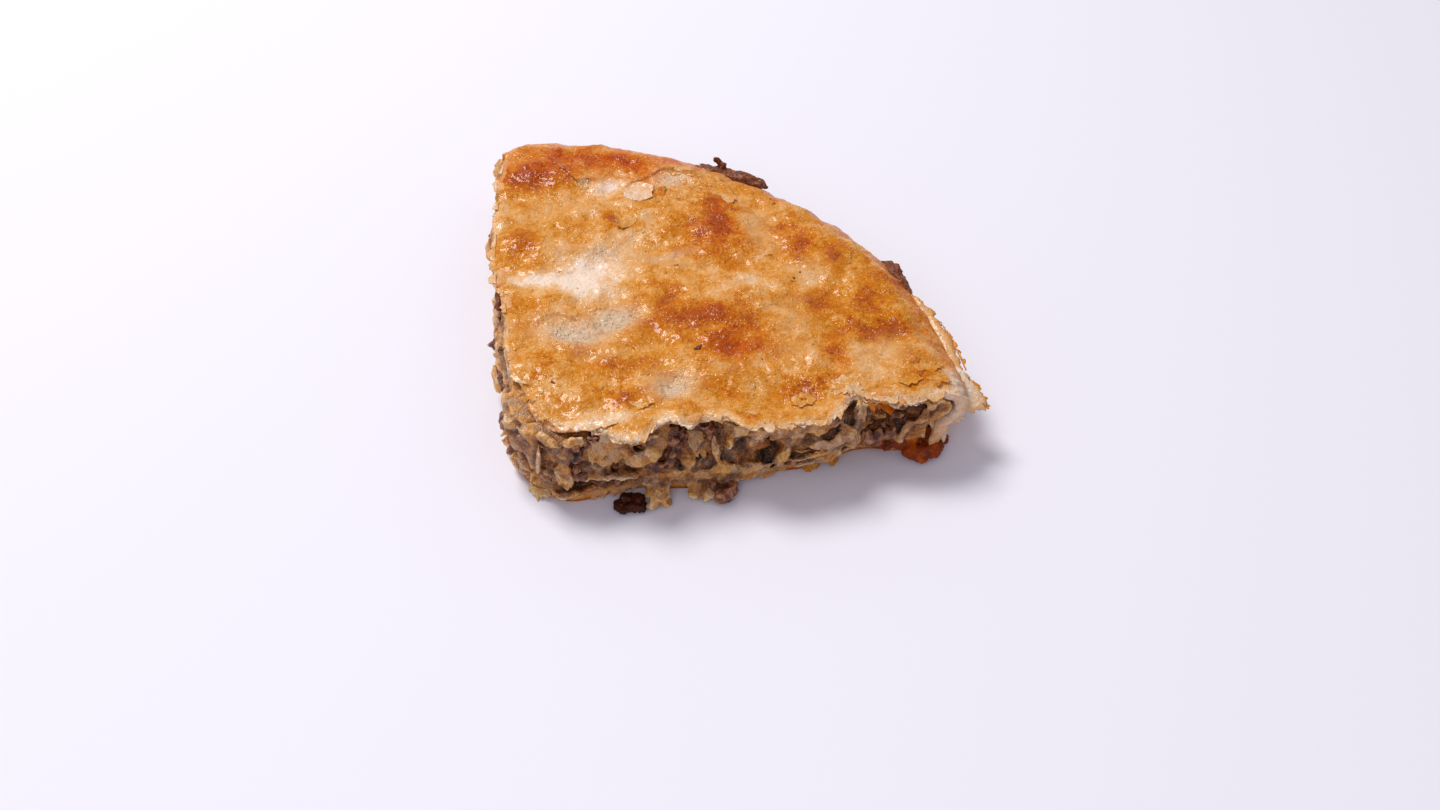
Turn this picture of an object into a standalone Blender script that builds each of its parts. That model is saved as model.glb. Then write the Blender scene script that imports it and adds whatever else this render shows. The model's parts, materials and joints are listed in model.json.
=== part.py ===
"""A quarter of a round meat borek, as it was cut from its tin.

Leaves of pastry wrap a mixed filling of minced meat and soft dough over the top, down the round
side and under the base. The two knife cuts, one at the front and one at the left, leave the
filling bare. Two solids: the pastry, and the filling that runs right through it.

Lengths are in millimetres in a plan frame whose x axis runs along the front cut and whose y axis
runs along the left cut. place() turns them to metres about the middle of the underside.
"""

import math
import random

import bmesh
import bpy
from mathutils import Matrix, Vector, noise

MM = 0.001

# The tin and the two cuts through it.
TIN_RADIUS = 170.0
TIN_MIDDLE = (-10.0, 17.0)
FRONT_CUT = -2.0
LEFT_CUT = -7.0
MIDDLE = (75.9, 86.0)

# The pastry, from the underside up.
TOP_HEIGHT = 33.5
CRUST = 3.6
BASE = 3.2
WALL = 6.0
SHOULDER_WIDTH = 17.0
SHOULDER_DROP = 15.0
TUCK = 4.0
GAP = 0.5
LID_GAP = 1.2
LID_BARE = 22.0

# Gentle unevenness of the top: its height, and the sizes of its broad and its finer part.
RIPPLE = 0.9
BROAD_RIPPLE = 21.0
FINE_RIPPLE = 9.0
FINE_SHARE = 0.5

# How much of the torn reach of the top its underside shares, how far the side tapers to its foot,
# and how far the filling keeps from the pastry at the shoulder, the side and its waist.
CEILING_TEAR = 0.85
SIDE_TAPER = 1.0
SHOULDER_GAP = 1.0
SIDE_GAP = 0.8
WAIST_DROP = 0.8

# Where the crust is torn off the tip the filling lies lower and rougher.
BARE_DEPTH = 1.5
BARE_ROUGH = 2.5
BARE_GRAIN = 4.0

# The front edge of the base: a gentle wave, then it draws back towards the right.
BASE_WAVE = 1.5
BASE_WAVE_SPREAD = 7.0
BASE_BACK = 5.5
BASE_BACK_FROM = 80.0
BASE_BACK_OVER = 35.0
FOOT_INSET = 0.4

# Steps of the meshes.
TOP_STEPS = 32
UNDER_STEPS = 16
SHOULDER_STEPS = 5
FACE_ROWS = 9
FACE_STEPS = 62
FACE_LENGTH = 158.0
FACE_FADE = 10.0

# Broad hills and dips of the baked top: x, y, half length, half width, turn in degrees, rise.
TOP_FORMS = (
    (22.0, 150.0, 24.0, 10.0, -12.0, 1.6),
    (48.0, 166.0, 40.0, 7.0, -20.0, 1.4),
    (45.0, 138.0, 17.0, 9.0, 20.0, -1.5),
    (78.0, 112.0, 17.0, 22.0, 15.0, 1.7),
    (35.0, 90.0, 38.0, 11.0, 14.0, -1.9),
    (5.0, 105.0, 13.0, 12.0, 0.0, 1.0),
    (8.0, 70.0, 16.0, 6.0, 10.0, 1.1),
    (18.0, 52.0, 13.0, 7.0, -24.0, -1.7),
    (34.0, 57.0, 9.0, 7.0, 10.0, -2.0),
    (76.0, 50.0, 26.0, 15.0, -10.0, 1.4),
    (88.0, 80.0, 14.0, 6.0, 0.0, -0.8),
    (126.0, 72.0, 12.0, 16.0, 30.0, 1.5),
    (100.0, 108.0, 6.0, 14.0, 0.0, -1.3),
    (136.0, 30.0, 14.0, 12.0, 20.0, -1.6),
    (52.0, 18.0, 9.0, 6.0, 0.0, -1.5),
    (90.0, 6.0, 25.0, 12.0, 0.0, -3.0),
    (50.0, 0.0, 18.0, 8.0, 0.0, 1.2),
    (12.0, 6.0, 10.0, 8.0, 0.0, -2.2),
)

# How far the torn edge of the top stands out past each cut: place along the cut, reach.
FRONT_TEAR = (
    (-7.0, -9.0), (1.0, -9.0), (8.0, -6.0), (15.0, -4.5), (23.0, -2.0),
    (29.0, 4.5), (37.0, 5.5), (42.0, 0.5), (47.0, -2.0), (54.0, 3.0), (59.0, -1.0),
    (67.0, -1.0), (74.0, 6.5), (85.0, 7.0), (96.0, 6.0), (101.0, 7.5), (108.0, 3.5),
    (115.0, -6.5), (120.0, -2.0), (128.0, 1.0), (136.0, 2.2), (148.0, 0.0), (158.0, -6.0),
)
LEFT_TEAR = (
    (-2.0, -8.0), (24.0, -7.0), (30.0, -2.0), (45.0, 0.0), (60.0, -0.5), (77.0, 0.0),
    (84.0, 2.5), (105.0, 1.5), (118.0, 0.0), (142.0, -1.5), (160.0, -0.5), (187.0, 0.0),
)
TEAR_FADE = 22.0

# Hollows (+) and swellings (-) of the cut filling: place along the cut, height, half length,
# half height, depth.
FRONT_HOLLOWS = (
    (55.0, 27.0, 9.0, 6.0, 7.5),
    (82.0, 14.0, 4.0, 7.0, 7.0),
    (132.0, 22.0, 17.0, 9.0, 6.5),
    (22.0, 8.0, 12.0, 4.0, 4.5),
    (112.0, 29.0, 6.0, 5.0, 6.0),
    (40.0, 9.0, 8.0, 6.0, -3.5),
    (9.0, 17.0, 7.0, 8.0, -3.0),
    (68.0, 12.0, 7.0, 9.0, -3.0),
    (95.0, 16.0, 12.0, 5.0, -2.0),
)
LEFT_HOLLOWS = (
    (150.0, 20.0, 16.0, 7.0, 4.0),
    (118.0, 14.0, 9.0, 6.0, 4.5),
    (88.0, 23.0, 12.0, 5.0, 5.0),
    (38.0, 12.0, 8.0, 5.0, 4.0),
    (100.0, 8.0, 14.0, 5.0, -3.0),
    (62.0, 12.0, 12.0, 8.0, -3.5),
    (20.0, 20.0, 10.0, 7.0, -2.5),
    (135.0, 8.0, 12.0, 5.0, -2.0),
)

# Fine relief of the cut filling. Folds run along the cut and lean up and down with it. Each kind
# has a size along and up the face and a depth, and the whole stands a little proud.
FOLD_SIZE, FOLD_DEPTH = (11.0, 3.6), 3.2
LUMP_SIZE, LUMP_DEPTH = (5.0, 4.4), 2.2
BROAD_SIZE, BROAD_DEPTH = (16.0, 12.0), 1.6
FOLD_LEAN, FOLD_LEAN_SPREAD = 0.35, 19.0
PROUD = 0.6
FRONT_PATTERN = 3.0
LEFT_PATTERN = 7.0

# Lumps of meat and folds of dough that stand out of the two cut faces, drawn by a seeded rule:
# how many, the stretch of the cut they are spread over, their heights, and their half sizes
# along the cut, out of it and upwards. A pair is a smallest and a largest value.
CRAG_SEED = 41
FRONT_CRAGS = 9
LEFT_CRAGS = 8
CRAG_START = 8.0
FRONT_CRAG_SPAN = 122.0
LEFT_CRAG_SPAN = 150.0
CRAG_HEIGHTS = (9.0, 21.0)
FOLD_EVERY = 2
FOLD_HALF = ((8.0, 12.0), 3.2, (1.6, 2.4))
LUMP_HALF = ((3.0, 6.0), 3.6, (2.6, 4.4))
CRAG_SINK = 0.8
CRAG_TILT = 25.0
CRAG_HEADROOM = 0.6
CRAG_FLOOR = 0.1
SPACING = (0.1, 0.9)

# How rough a rounded lump is and how fine its roughness.
LUMP_ROUGHNESS = 0.3
LUMP_GRAIN = 1.7

# Pieces that hang out of the foot of the front cut: middle, half sizes.
FOOT_CRAGS = (
    ((60.0, -2.4, 8.6), (8.0, 4.0, 3.2)),
    ((63.5, -5.6, 6.4), (7.0, 3.6, 3.6)),
    ((66.0, -9.4, 3.9), (5.0, 4.2, 3.3)),
    ((57.0, -7.0, 3.4), (5.4, 4.2, 2.6)),
    ((44.0, -2.4, 8.8), (9.0, 4.0, 3.4)),
    ((42.5, -6.4, 5.4), (6.0, 3.6, 4.0)),
    ((41.0, -9.4, 3.0), (5.0, 3.6, 2.6)),
    ((33.0, -9.4, 2.6), (6.6, 3.0, 2.2)),
)

# Filling that shows from above where the crust is torn off the tip: middle, half sizes.
TIP_CRAGS = (
    ((-1.6, 10.0, 27.4), (2.8, 4.5, 2.4)),
    ((-2.8, 19.5, 27.0), (2.2, 5.0, 2.6)),
    ((4.5, 1.6, 26.6), (4.6, 2.6, 2.4)),
    ((-1.0, 3.5, 26.2), (3.0, 3.0, 2.6)),
)
TIP_CRAG_TOP = 29.0

# Juice that leaked from the front right of the base and set: middle, half sizes. The part of it
# that lies under the filling is no higher than the base.
DRIP_FILM = (
    ((126.0, 2.4, 2.2), (6.0, 4.0, 2.0)),
    ((134.0, 0.4, 2.2), (8.0, 4.8, 2.0)),
)
DRIP_LUMPS = (
    ((143.5, -1.0, 3.8), (6.4, 5.4, 3.2)),
    ((148.0, 1.6, 5.4), (4.2, 4.8, 3.8)),
)

# Burnt spots where filling came through at the rim: middle, half sizes, turn in degrees.
RIM_BURNS = (
    ((147.6, 69.0, 26.4), (4.8, 10.5, 4.4), 18.0),
    ((91.0, 146.6, 28.4), (11.0, 4.4, 3.4), -36.0),
    ((101.0, 140.4, 28.4), (8.0, 4.6, 3.2), -40.0),
    ((91.5, 150.0, 31.6), (2.0, 1.8, 3.2), 0.0),
)

# Small flakes along the torn edges of the top: how many, and their largest half sizes.
EDGE_SEED = 17
FRONT_FLAKES = 13
LEFT_FLAKES = 8
FLAKE_HALF = (5.0, 3.2, 0.9)
FLAKE_SHARE = (0.55, 1.0)
FRONT_FLAKE_SPAN = (8.0, 140.0)
LEFT_FLAKE_SPAN = (30.0, 165.0)
FRONT_FLAKE_INSET = 0.8
LEFT_FLAKE_INSET = 1.4
FLAKE_DEPTH = (0.35, 0.75)
FLAKE_TURN = 30.0
FLAKE_TILT = 8.0

# Loose leaves of the right corner and of the round side: a root line, a tip line, each through
# three points, and how far the leaf bellies out between them.
LEAVES = (
    (((148.0, 6.0, 28.5), (153.0, 7.0, 27.0), (156.0, 15.0, 26.0)),
     ((151.0, -2.0, 17.0), (158.5, -3.5, 20.0), (162.0, 6.0, 24.0)), 0.6),
    (((152.5, 42.0, 27.0), (155.0, 30.0, 26.0), (156.5, 17.0, 24.0)),
     ((159.0, 43.0, 27.0), (161.6, 31.0, 26.0), (162.0, 18.0, 24.0)), 0.3),
    (((118.0, 3.0, 32.2), (124.0, 3.0, 32.2), (131.0, 2.0, 32.2)),
     ((117.0, -4.0, 28.5), (124.0, -6.5, 27.0), (129.0, -5.0, 28.0)), 0.2),
)
LEAF_THICKNESS = 1.1
LEAF_THINNING = 0.45
LEAF_STEPS = (10, 4)
LEAF_LENGTH = 0.86
LEAF_RAGGED = 0.55
LEAF_TEETH = 9.0
LEAF_CURVE = 0.8
LOWEST = 0.15
SHARP_ANGLE = 40.0

# Where the quarter departs from a true one: the rounded tip, the back corner that is drawn in,
# and the foot of the right corner that leans in.
TIP_ROUND = 7.0
TIP_SPREAD = 8.0
BACK_DRAW = 7.0
BACK_SPREAD = 45.0
BACK_FROM = (125.0, 178.0)
CORNER_FROM = (150.0, 187.0)
FOOT_LEAN = 8.8
FOOT_SPREAD = 26.0
LEAN_ALONG = (115.0, 155.0)
LEAN_UNDER = (12.0, 27.0)

SKINS = {
    "pastry": ((0.72, 0.42, 0.15), 0.42),
    "meat_filling": ((0.45, 0.33, 0.20), 0.50),
}


def clear_scene():
    """Removes what the startup scene holds."""
    for thing in list(bpy.data.objects):
        bpy.data.objects.remove(thing)


def rise(value, low, high):
    """0 below low, 1 above high, a smooth step between."""
    share = min(1.0, max(0.0, (value - low) / (high - low)))
    return share * share * (3 - 2 * share)


def settle(x, y, z):
    """A point of the true quarter moved to where the baked and cut one has it."""
    from_tip = math.hypot(x - LEFT_CUT, y - FRONT_CUT)
    tip = TIP_ROUND * math.sqrt(0.5) * math.exp(-((from_tip / TIP_SPREAD) ** 2) / 2)
    near = max(0.0, 1 - (x - LEFT_CUT) / BACK_SPREAD) ** 2
    lean = math.exp(-(((y - FRONT_CUT) / FOOT_SPREAD) ** 2)) * (1 - rise(z, *LEAN_UNDER))
    out_x = x + tip + BACK_DRAW * near * rise(y, *BACK_FROM)
    out_x -= FOOT_LEAN * lean * rise(x, *LEAN_ALONG)
    out_y = y + tip - BACK_DRAW * near * near * rise(y, *CORNER_FROM)
    return out_x, out_y, z


def place(point):
    """A plan point in millimetres as a point of the finished part in metres."""
    x, y, z = point
    return Vector((x - MIDDLE[0], y - MIDDLE[1], z)) * MM


def skin(name):
    """The plain material of one node."""
    colour, roughness = SKINS[name]
    material = bpy.data.materials.new(name)
    material.use_nodes = True
    shader = material.node_tree.nodes["Principled BSDF"]
    shader.inputs["Base Color"].default_value = (*colour, 1.0)
    shader.inputs["Roughness"].default_value = roughness
    return material


def reading(table, at):
    """The value of a table of (place, value) at a place, on straight lines between its rows."""
    if at <= table[0][0]:
        return table[0][1]
    for (low, first), (high, second) in zip(table, table[1:]):
        if at <= high:
            return first + (second - first) * (at - low) / (high - low)
    return table[-1][1]


def swell(x, y, forms):
    """The sum of the oval hills and dips at a point."""
    total = 0.0
    for form_x, form_y, length, width, turn, height in forms:
        c, s = math.cos(math.radians(turn)), math.sin(math.radians(turn))
        along = ((x - form_x) * c + (y - form_y) * s) / length
        across = ((y - form_y) * c - (x - form_x) * s) / width
        total += height * math.exp(-(along**2 + across**2))
    return total


def top_height(x, y):
    """Height of the baked top."""
    broad = noise.noise(Vector((x, y, 0.0)) / BROAD_RIPPLE)
    fine = noise.noise(Vector((x, y, FINE_RIPPLE)) / FINE_RIPPLE)
    return TOP_HEIGHT + swell(x, y, TOP_FORMS) + RIPPLE * (broad + FINE_SHARE * fine)


def under_crust(x, y):
    """Height of the underside of the top crust, which follows the top."""
    return top_height(x, y) - CRUST


def reach(turn, radius):
    """Distance from the tip of the quarter to a circle about the tin's middle, along a turn."""
    ux, uy = math.cos(turn), math.sin(turn)
    dx, dy = LEFT_CUT - TIN_MIDDLE[0], FRONT_CUT - TIN_MIDDLE[1]
    b = ux * dx + uy * dy
    return -b + math.sqrt(b * b - (dx * dx + dy * dy - radius * radius))


def ray_point(turn, radius):
    """Where a line from the tip meets a circle about the tin's middle."""
    d = reach(turn, radius)
    return LEFT_CUT + d * math.cos(turn), FRONT_CUT + d * math.sin(turn)


def quarter(s, t):
    """A unit square bent to a unit quarter disc, as its distance and turn from the tip."""
    x = s * math.sqrt(1 - t * t / 2)
    y = t * math.sqrt(1 - s * s / 2)
    return math.hypot(x, y), math.atan2(y, x)


def torn(x, y, share=1.0):
    """A plan point moved out with the torn edges of the top, fading inwards."""
    from_front, from_left = y - FRONT_CUT, x - LEFT_CUT
    front = reading(FRONT_TEAR, x) * max(0.0, 1 - from_front / TEAR_FADE) ** 2
    left = reading(LEFT_TEAR, y) * max(0.0, 1 - from_left / TEAR_FADE) ** 2
    return x - share * left, y - share * front


class Shell:
    """A closed mesh that is gathered from grids, rings and strips of shared points."""

    def __init__(self):
        self.points = []
        self.faces = []

    def add(self, x, y, z):
        self.points.append((x, y, z))
        return len(self.points) - 1

    def grid(self, steps, radius, height, move=None):
        """A bent square of points out to a radius. height gives each point's z."""
        rows = []
        for j in range(steps + 1):
            row = []
            for i in range(steps + 1):
                distance, turn = quarter(i / steps, j / steps)
                d = distance * reach(turn, radius)
                x, y = LEFT_CUT + d * math.cos(turn), FRONT_CUT + d * math.sin(turn)
                if move:
                    x, y = move(x, y)
                row.append(self.add(x, y, height(x, y)))
            rows.append(row)
        return rows

    def cover(self, rows, up):
        """Faces over a grid, looking up or down."""
        for low, high in zip(rows, rows[1:]):
            for i in range(len(low) - 1):
                loop = (low[i], low[i + 1], high[i + 1], high[i])
                self.faces.append(loop if up else loop[::-1])

    def strip(self, first, second):
        """Triangles between two lines of points, whatever the number of points on each."""
        i = j = 0
        while i < len(first) - 1 or j < len(second) - 1:
            if j == len(second) - 1 or (i + 1) * (len(second) - 1) <= (j + 1) * (len(first) - 1):
                if i == len(first) - 1:
                    break
                self.faces.append((first[i], first[i + 1], second[j]))
                i += 1
            else:
                self.faces.append((first[i], second[j + 1], second[j]))
                j += 1
        while j < len(second) - 1:
            self.faces.append((first[-1], second[j + 1], second[j]))
            j += 1

    def build(self, name):
        """The finished object, with its faces turned out and its round parts shaded smooth."""
        mesh = bpy.data.meshes.new(name)
        mesh.from_pydata([place(settle(*p)) for p in self.points], [], self.faces)
        work = bmesh.new()
        work.from_mesh(mesh)
        bmesh.ops.recalc_face_normals(work, faces=work.faces)
        work.to_mesh(mesh)
        work.free()
        node = bpy.data.objects.new(name, mesh)
        bpy.context.scene.collection.objects.link(node)
        return node


def rim(rows):
    """The points of a grid along the tin wall, from the front cut round to the left cut."""
    return [row[-1] for row in rows] + rows[-1][-2::-1]


def rim_turns(steps):
    """The turn from the tip of each rim point."""
    along = [quarter(1.0, k / steps)[1] for k in range(steps + 1)]
    return along + [quarter(k / steps, 1.0)[1] for k in range(steps - 1, -1, -1)]


def ring(shell, steps, profile):
    """Rings of points below a rim: profile gives a radius and a height for each turn."""
    made = []
    for turn in rim_turns(steps):
        radius, z = profile(turn)
        made.append(shell.add(*ray_point(turn, radius), z))
    return made


def flat(shell, steps, radius, z, tear, up):
    """A flat face at height z: its points along the front, the rim and the left, shared."""
    front = []
    for k in range(steps + 1):
        x = LEFT_CUT + reach(0.0, radius) * k / steps
        front.append(shell.add(x, FRONT_CUT - tear(x), z))
    left = []
    for k in range(1, steps + 1):
        y = FRONT_CUT + reach(math.pi / 2, radius) * k / steps
        left.append(shell.add(LEFT_CUT, y, z))
    middle = [
        shell.add(*ray_point(turn, radius), z)
        for turn in rim_turns(steps)[1:-1]
    ]
    loop = front + middle + left[::-1]
    shell.faces.append(tuple(loop if up else loop[::-1]))
    return front, [front[-1], *middle, left[-1]], [front[0], *left]


def base_tear(x):
    """How far the base stands out past the front cut: it draws back towards the right."""
    back = min(1.0, max(0.0, (x - BASE_BACK_FROM) / BASE_BACK_OVER))
    return BASE_WAVE * math.sin(x / BASE_WAVE_SPREAD) - BASE_BACK * back


def foot_tear(x):
    """How far the foot of the filling stands out past the front cut: never past the base."""
    return min(0.0, base_tear(x)) - FOOT_INSET


def make_pastry():
    """The wrap of pastry: top crust, round side and base, open at both cuts."""
    shell = Shell()
    flat_radius = TIN_RADIUS - SHOULDER_WIDTH
    inner_radius = TIN_RADIUS - WALL - SHOULDER_WIDTH / 2
    top = shell.grid(TOP_STEPS, flat_radius, top_height, torn)
    ceiling = shell.grid(
        UNDER_STEPS, flat_radius, under_crust, lambda x, y: torn(x, y, CEILING_TEAR)
    )
    shell.cover(top, True)
    shell.cover(ceiling, False)

    # Outside: round the shoulder, down the side and in under the tucked foot.
    def shoulder(k):
        bend = math.pi / 2 * k / SHOULDER_STEPS

        def profile(turn):
            edge = top_height(*ray_point(turn, flat_radius))
            radius = flat_radius + SHOULDER_WIDTH * math.sin(bend)
            return radius, edge - SHOULDER_DROP * (1 - math.cos(bend))

        return profile

    wall = [rim(top)]
    wall += [ring(shell, TOP_STEPS, shoulder(k)) for k in range(1, SHOULDER_STEPS + 1)]
    wall.append(ring(shell, TOP_STEPS, lambda turn: (TIN_RADIUS - SIDE_TAPER, TUCK)))
    floor_front, floor_rim, floor_left = flat(
        shell, TOP_STEPS, TIN_RADIUS - TUCK, 0.0, base_tear, False
    )
    wall.append(floor_rim)
    for upper, lower in zip(wall, wall[1:]):
        shell.strip(lower, upper)

    # Inside: the hollow that the filling lies in.
    def inner(turn):
        return inner_radius, TOP_HEIGHT - CRUST - SHOULDER_DROP / 2

    hollow = [rim(ceiling), ring(shell, UNDER_STEPS, inner)]
    tray_front, tray_rim, tray_left = flat(
        shell, UNDER_STEPS, inner_radius, BASE, base_tear, True
    )
    hollow.append(tray_rim)
    for upper, lower in zip(hollow, hollow[1:]):
        shell.strip(upper, lower)

    # The two cut faces of the wrap.
    shell.strip(top[0], ceiling[0])
    shell.strip([line[0] for line in wall], [line[0] for line in hollow])
    shell.strip(floor_front[::-1], tray_front[::-1])
    shell.strip([row[0] for row in ceiling], [row[0] for row in top])
    shell.strip([line[-1] for line in hollow], [line[-1] for line in wall])
    shell.strip(tray_left[::-1], floor_left[::-1])
    return shell.build("pastry")


def face_noise(along, z, size, pattern):
    """Smooth noise over a cut face. size is that of its features along and up the face."""
    return noise.noise(Vector((along / size[0], z / size[1], pattern)))


def cut_relief(along, z, hollows, pattern):
    """Depth of the rough cut face of the filling at a place: pits, and folds that stand out."""
    depth = -PROUD
    for form_along, form_z, length, height, deep in hollows:
        away = ((along - form_along) / length) ** 2 + ((z - form_z) / height) ** 2
        depth += deep * math.exp(-away)
    slope = FOLD_LEAN * math.sin(along / FOLD_LEAN_SPREAD + pattern)
    depth += FOLD_DEPTH * abs(face_noise(along, z - slope * along, FOLD_SIZE, pattern))
    depth += LUMP_DEPTH * face_noise(along, z, LUMP_SIZE, pattern + 5.0)
    depth += BROAD_DEPTH * face_noise(along, z, BROAD_SIZE, pattern + 9.0)
    return depth


def at_share(line, share):
    """The point at a share of the way along a list of points."""
    place_on = share * (len(line) - 1)
    k = min(int(place_on), len(line) - 2)
    return Vector(line[k]).lerp(Vector(line[k + 1]), place_on - k)


def make_filling_core():
    """The body of the filling, a little smaller than the hollow of the pastry all round."""
    shell = Shell()
    flat_radius = TIN_RADIUS - SHOULDER_WIDTH - SHOULDER_GAP
    inner_radius = TIN_RADIUS - WALL - SHOULDER_WIDTH / 2 - SIDE_GAP

    def lid_height(x, y):
        bare = math.exp(-((math.hypot(x - LEFT_CUT, y - FRONT_CUT) / LID_BARE) ** 2))
        rough = BARE_DEPTH + BARE_ROUGH * noise.noise(Vector((x, y, BARE_GRAIN)) / BARE_GRAIN)
        return under_crust(x, y) - LID_GAP - bare * max(0.0, rough)

    lid = shell.grid(UNDER_STEPS, flat_radius, lid_height)
    shell.cover(lid, True)
    waist_z = TOP_HEIGHT - CRUST - SHOULDER_DROP / 2 - WAIST_DROP
    waist = ring(shell, UNDER_STEPS, lambda turn: (inner_radius, waist_z))
    front, foot, left = flat(shell, UNDER_STEPS, inner_radius, BASE + GAP, foot_tear, False)
    for upper, lower in ((rim(lid), waist), (waist, foot)):
        shell.strip(lower, upper)

    def face(upper, lower, hollows, pattern, push, first_column=None):
        """The rows of one cut face between the lid's edge and the foot, pressed in by the relief."""
        high_line = [shell.points[k] for k in upper]
        low_line = [shell.points[k] for k in lower]
        rows = []
        for k in range(FACE_ROWS):
            row = [first_column[k]] if first_column else []
            share = (k + 0.5) / FACE_ROWS
            for i in range(len(row), FACE_STEPS + 1):
                at = i / FACE_STEPS
                point = at_share(high_line, at).lerp(at_share(low_line, at), share)
                along = at * FACE_LENGTH
                fade = min(1.0, (FACE_LENGTH - along) / FACE_FADE)
                point += Vector(push) * cut_relief(along, point.z, hollows, pattern) * fade
                row.append(shell.add(*point))
            rows.append(row)
        return rows

    front_rows = face(lid[0], front, FRONT_HOLLOWS, FRONT_PATTERN, (0.0, 1.0, 0.0))
    edge = [row[0] for row in lid]
    shared = [row[0] for row in front_rows]
    left_rows = face(edge, left, LEFT_HOLLOWS, LEFT_PATTERN, (1.0, 0.0, 0.0), shared)
    for rows in ([lid[0], *front_rows, front], [left, *left_rows[::-1], edge]):
        for first_row, second_row in zip(rows, rows[1:]):
            shell.strip(first_row, second_row)
    shell.faces.append((lid[0][-1], *[row[-1] for row in front_rows], foot[0], waist[0]))
    shell.faces.append((lid[-1][0], *[row[-1] for row in left_rows], foot[-1], waist[-1]))
    return shell.build("meat_filling")


def closed_piece(name, work, low=LOWEST, high=TOP_HEIGHT * 2):
    """An object from a closed bmesh, in the part's metres, held between two heights."""
    bmesh.ops.recalc_face_normals(work, faces=work.faces)
    mesh = bpy.data.meshes.new(name)
    for vertex in work.verts:
        x, y, z = vertex.co
        vertex.co = place((x, y, min(max(z, low), high)))
    work.to_mesh(mesh)
    work.free()
    return bpy.data.objects.new(name, mesh)


def lump(name, middle, half_sizes, turn=0.0, tilt=0.0, **heights):
    """A rough rounded lump. turn is about the upright and tilt about its own width, in degrees."""
    work = bmesh.new()
    bmesh.ops.create_icosphere(work, subdivisions=2, radius=1.0)
    rotation = Matrix.Rotation(math.radians(turn), 3, "Z")
    rotation @= Matrix.Rotation(math.radians(tilt), 3, "Y")
    for vertex in work.verts:
        rough = 1 + LUMP_ROUGHNESS * noise.noise(vertex.co * LUMP_GRAIN + Vector(middle))
        local = Vector([c * h for c, h in zip(vertex.co * rough, half_sizes)])
        vertex.co = Vector(middle) + rotation @ local
    return closed_piece(name, work, **heights)


def bent(line, share):
    """The point at a share of the way along a smooth curve through three points."""
    start, middle, end = (Vector(p) for p in line)
    peak = middle * 2 - (start + end) / 2
    return start * (1 - share) ** 2 + peak * 2 * share * (1 - share) + end * share**2


def leaf(name, root_line, tip_line, belly):
    """A thin leaf of pastry between two curves, with a ragged tip."""
    long, wide = LEAF_STEPS
    rows = []
    for j in range(wide + 1):
        row = []
        for i in range(long + 1):
            u, v = i / long, j / wide
            root, tip = bent(root_line, u), bent(tip_line, u)
            ragged = LEAF_LENGTH + LEAF_RAGGED * noise.noise(Vector((u * LEAF_TEETH, tip.x, tip.y)))
            row.append(root.lerp(tip, v * min(1.0, ragged)))
        rows.append(row)
    work = bmesh.new()
    sides = []
    for side in (-0.5, 0.5):
        made = []
        for j, row in enumerate(rows):
            out = belly * math.sin(math.pi * j / wide * LEAF_CURVE)
            out += LEAF_THICKNESS * side * (1 - LEAF_THINNING * j / wide)
            above, below = rows[min(j + 1, wide)], rows[max(j - 1, 0)]
            line = []
            for i, point in enumerate(row):
                along = row[min(i + 1, long)] - row[max(i - 1, 0)]
                aside = along.cross(above[i] - below[i]).normalized()
                line.append(work.verts.new(point + aside * out))
            made.append(line)
        sides.append(made)
    back, front = sides
    for j in range(wide):
        for i in range(long):
            for made in sides:
                a, b, c, d = made[j][i], made[j][i + 1], made[j + 1][i + 1], made[j + 1][i]
                work.faces.new((a, b, c))
                work.faces.new((a, c, d))
    edge = [(0, i) for i in range(long)] + [(j, long) for j in range(wide)]
    edge += [(wide, i) for i in range(long, 0, -1)] + [(j, 0) for j in range(wide, 0, -1)]
    for (j, i), (n, k) in zip(edge, edge[1:] + edge[:1]):
        work.faces.new((back[j][i], back[n][k], front[n][k], front[j][i]))
    return closed_piece(name, work)


def crags(draw, count, from_side):
    """Lumps and folds that stand out of one cut face, laid evenly along it."""
    pieces = []
    front = from_side == "front"
    length = FRONT_CRAG_SPAN if front else LEFT_CRAG_SPAN
    hollows = FRONT_HOLLOWS if front else LEFT_HOLLOWS
    pattern = FRONT_PATTERN if front else LEFT_PATTERN
    for k in range(count):
        along = CRAG_START + length * (k + draw.uniform(*SPACING)) / count
        z = draw.uniform(*CRAG_HEIGHTS)
        long, out, high = FOLD_HALF if k % FOLD_EVERY == 0 else LUMP_HALF
        half = (draw.uniform(*long), out, draw.uniform(*high))
        depth = cut_relief(along, z, hollows, pattern) + CRAG_SINK
        tilt = draw.uniform(-CRAG_TILT, CRAG_TILT)
        if front:
            middle, turn = (along, FRONT_CUT + depth, z), 0.0
            ends = [(along + half[0] * e, FRONT_CUT + depth) for e in (-1, 0, 1)]
        else:
            middle, turn = (LEFT_CUT + depth, along, z), 90.0
            ends = [(LEFT_CUT + depth, along + half[0] * e) for e in (-1, 0, 1)]
        highest = min(under_crust(*end) for end in ends) - LID_GAP - CRAG_HEADROOM
        lowest = BASE + GAP + CRAG_FLOOR
        name = f"{from_side}_crag_{k}"
        pieces.append(lump(name, settle(*middle), half, turn, tilt, low=lowest, high=highest))
    return pieces


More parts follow.
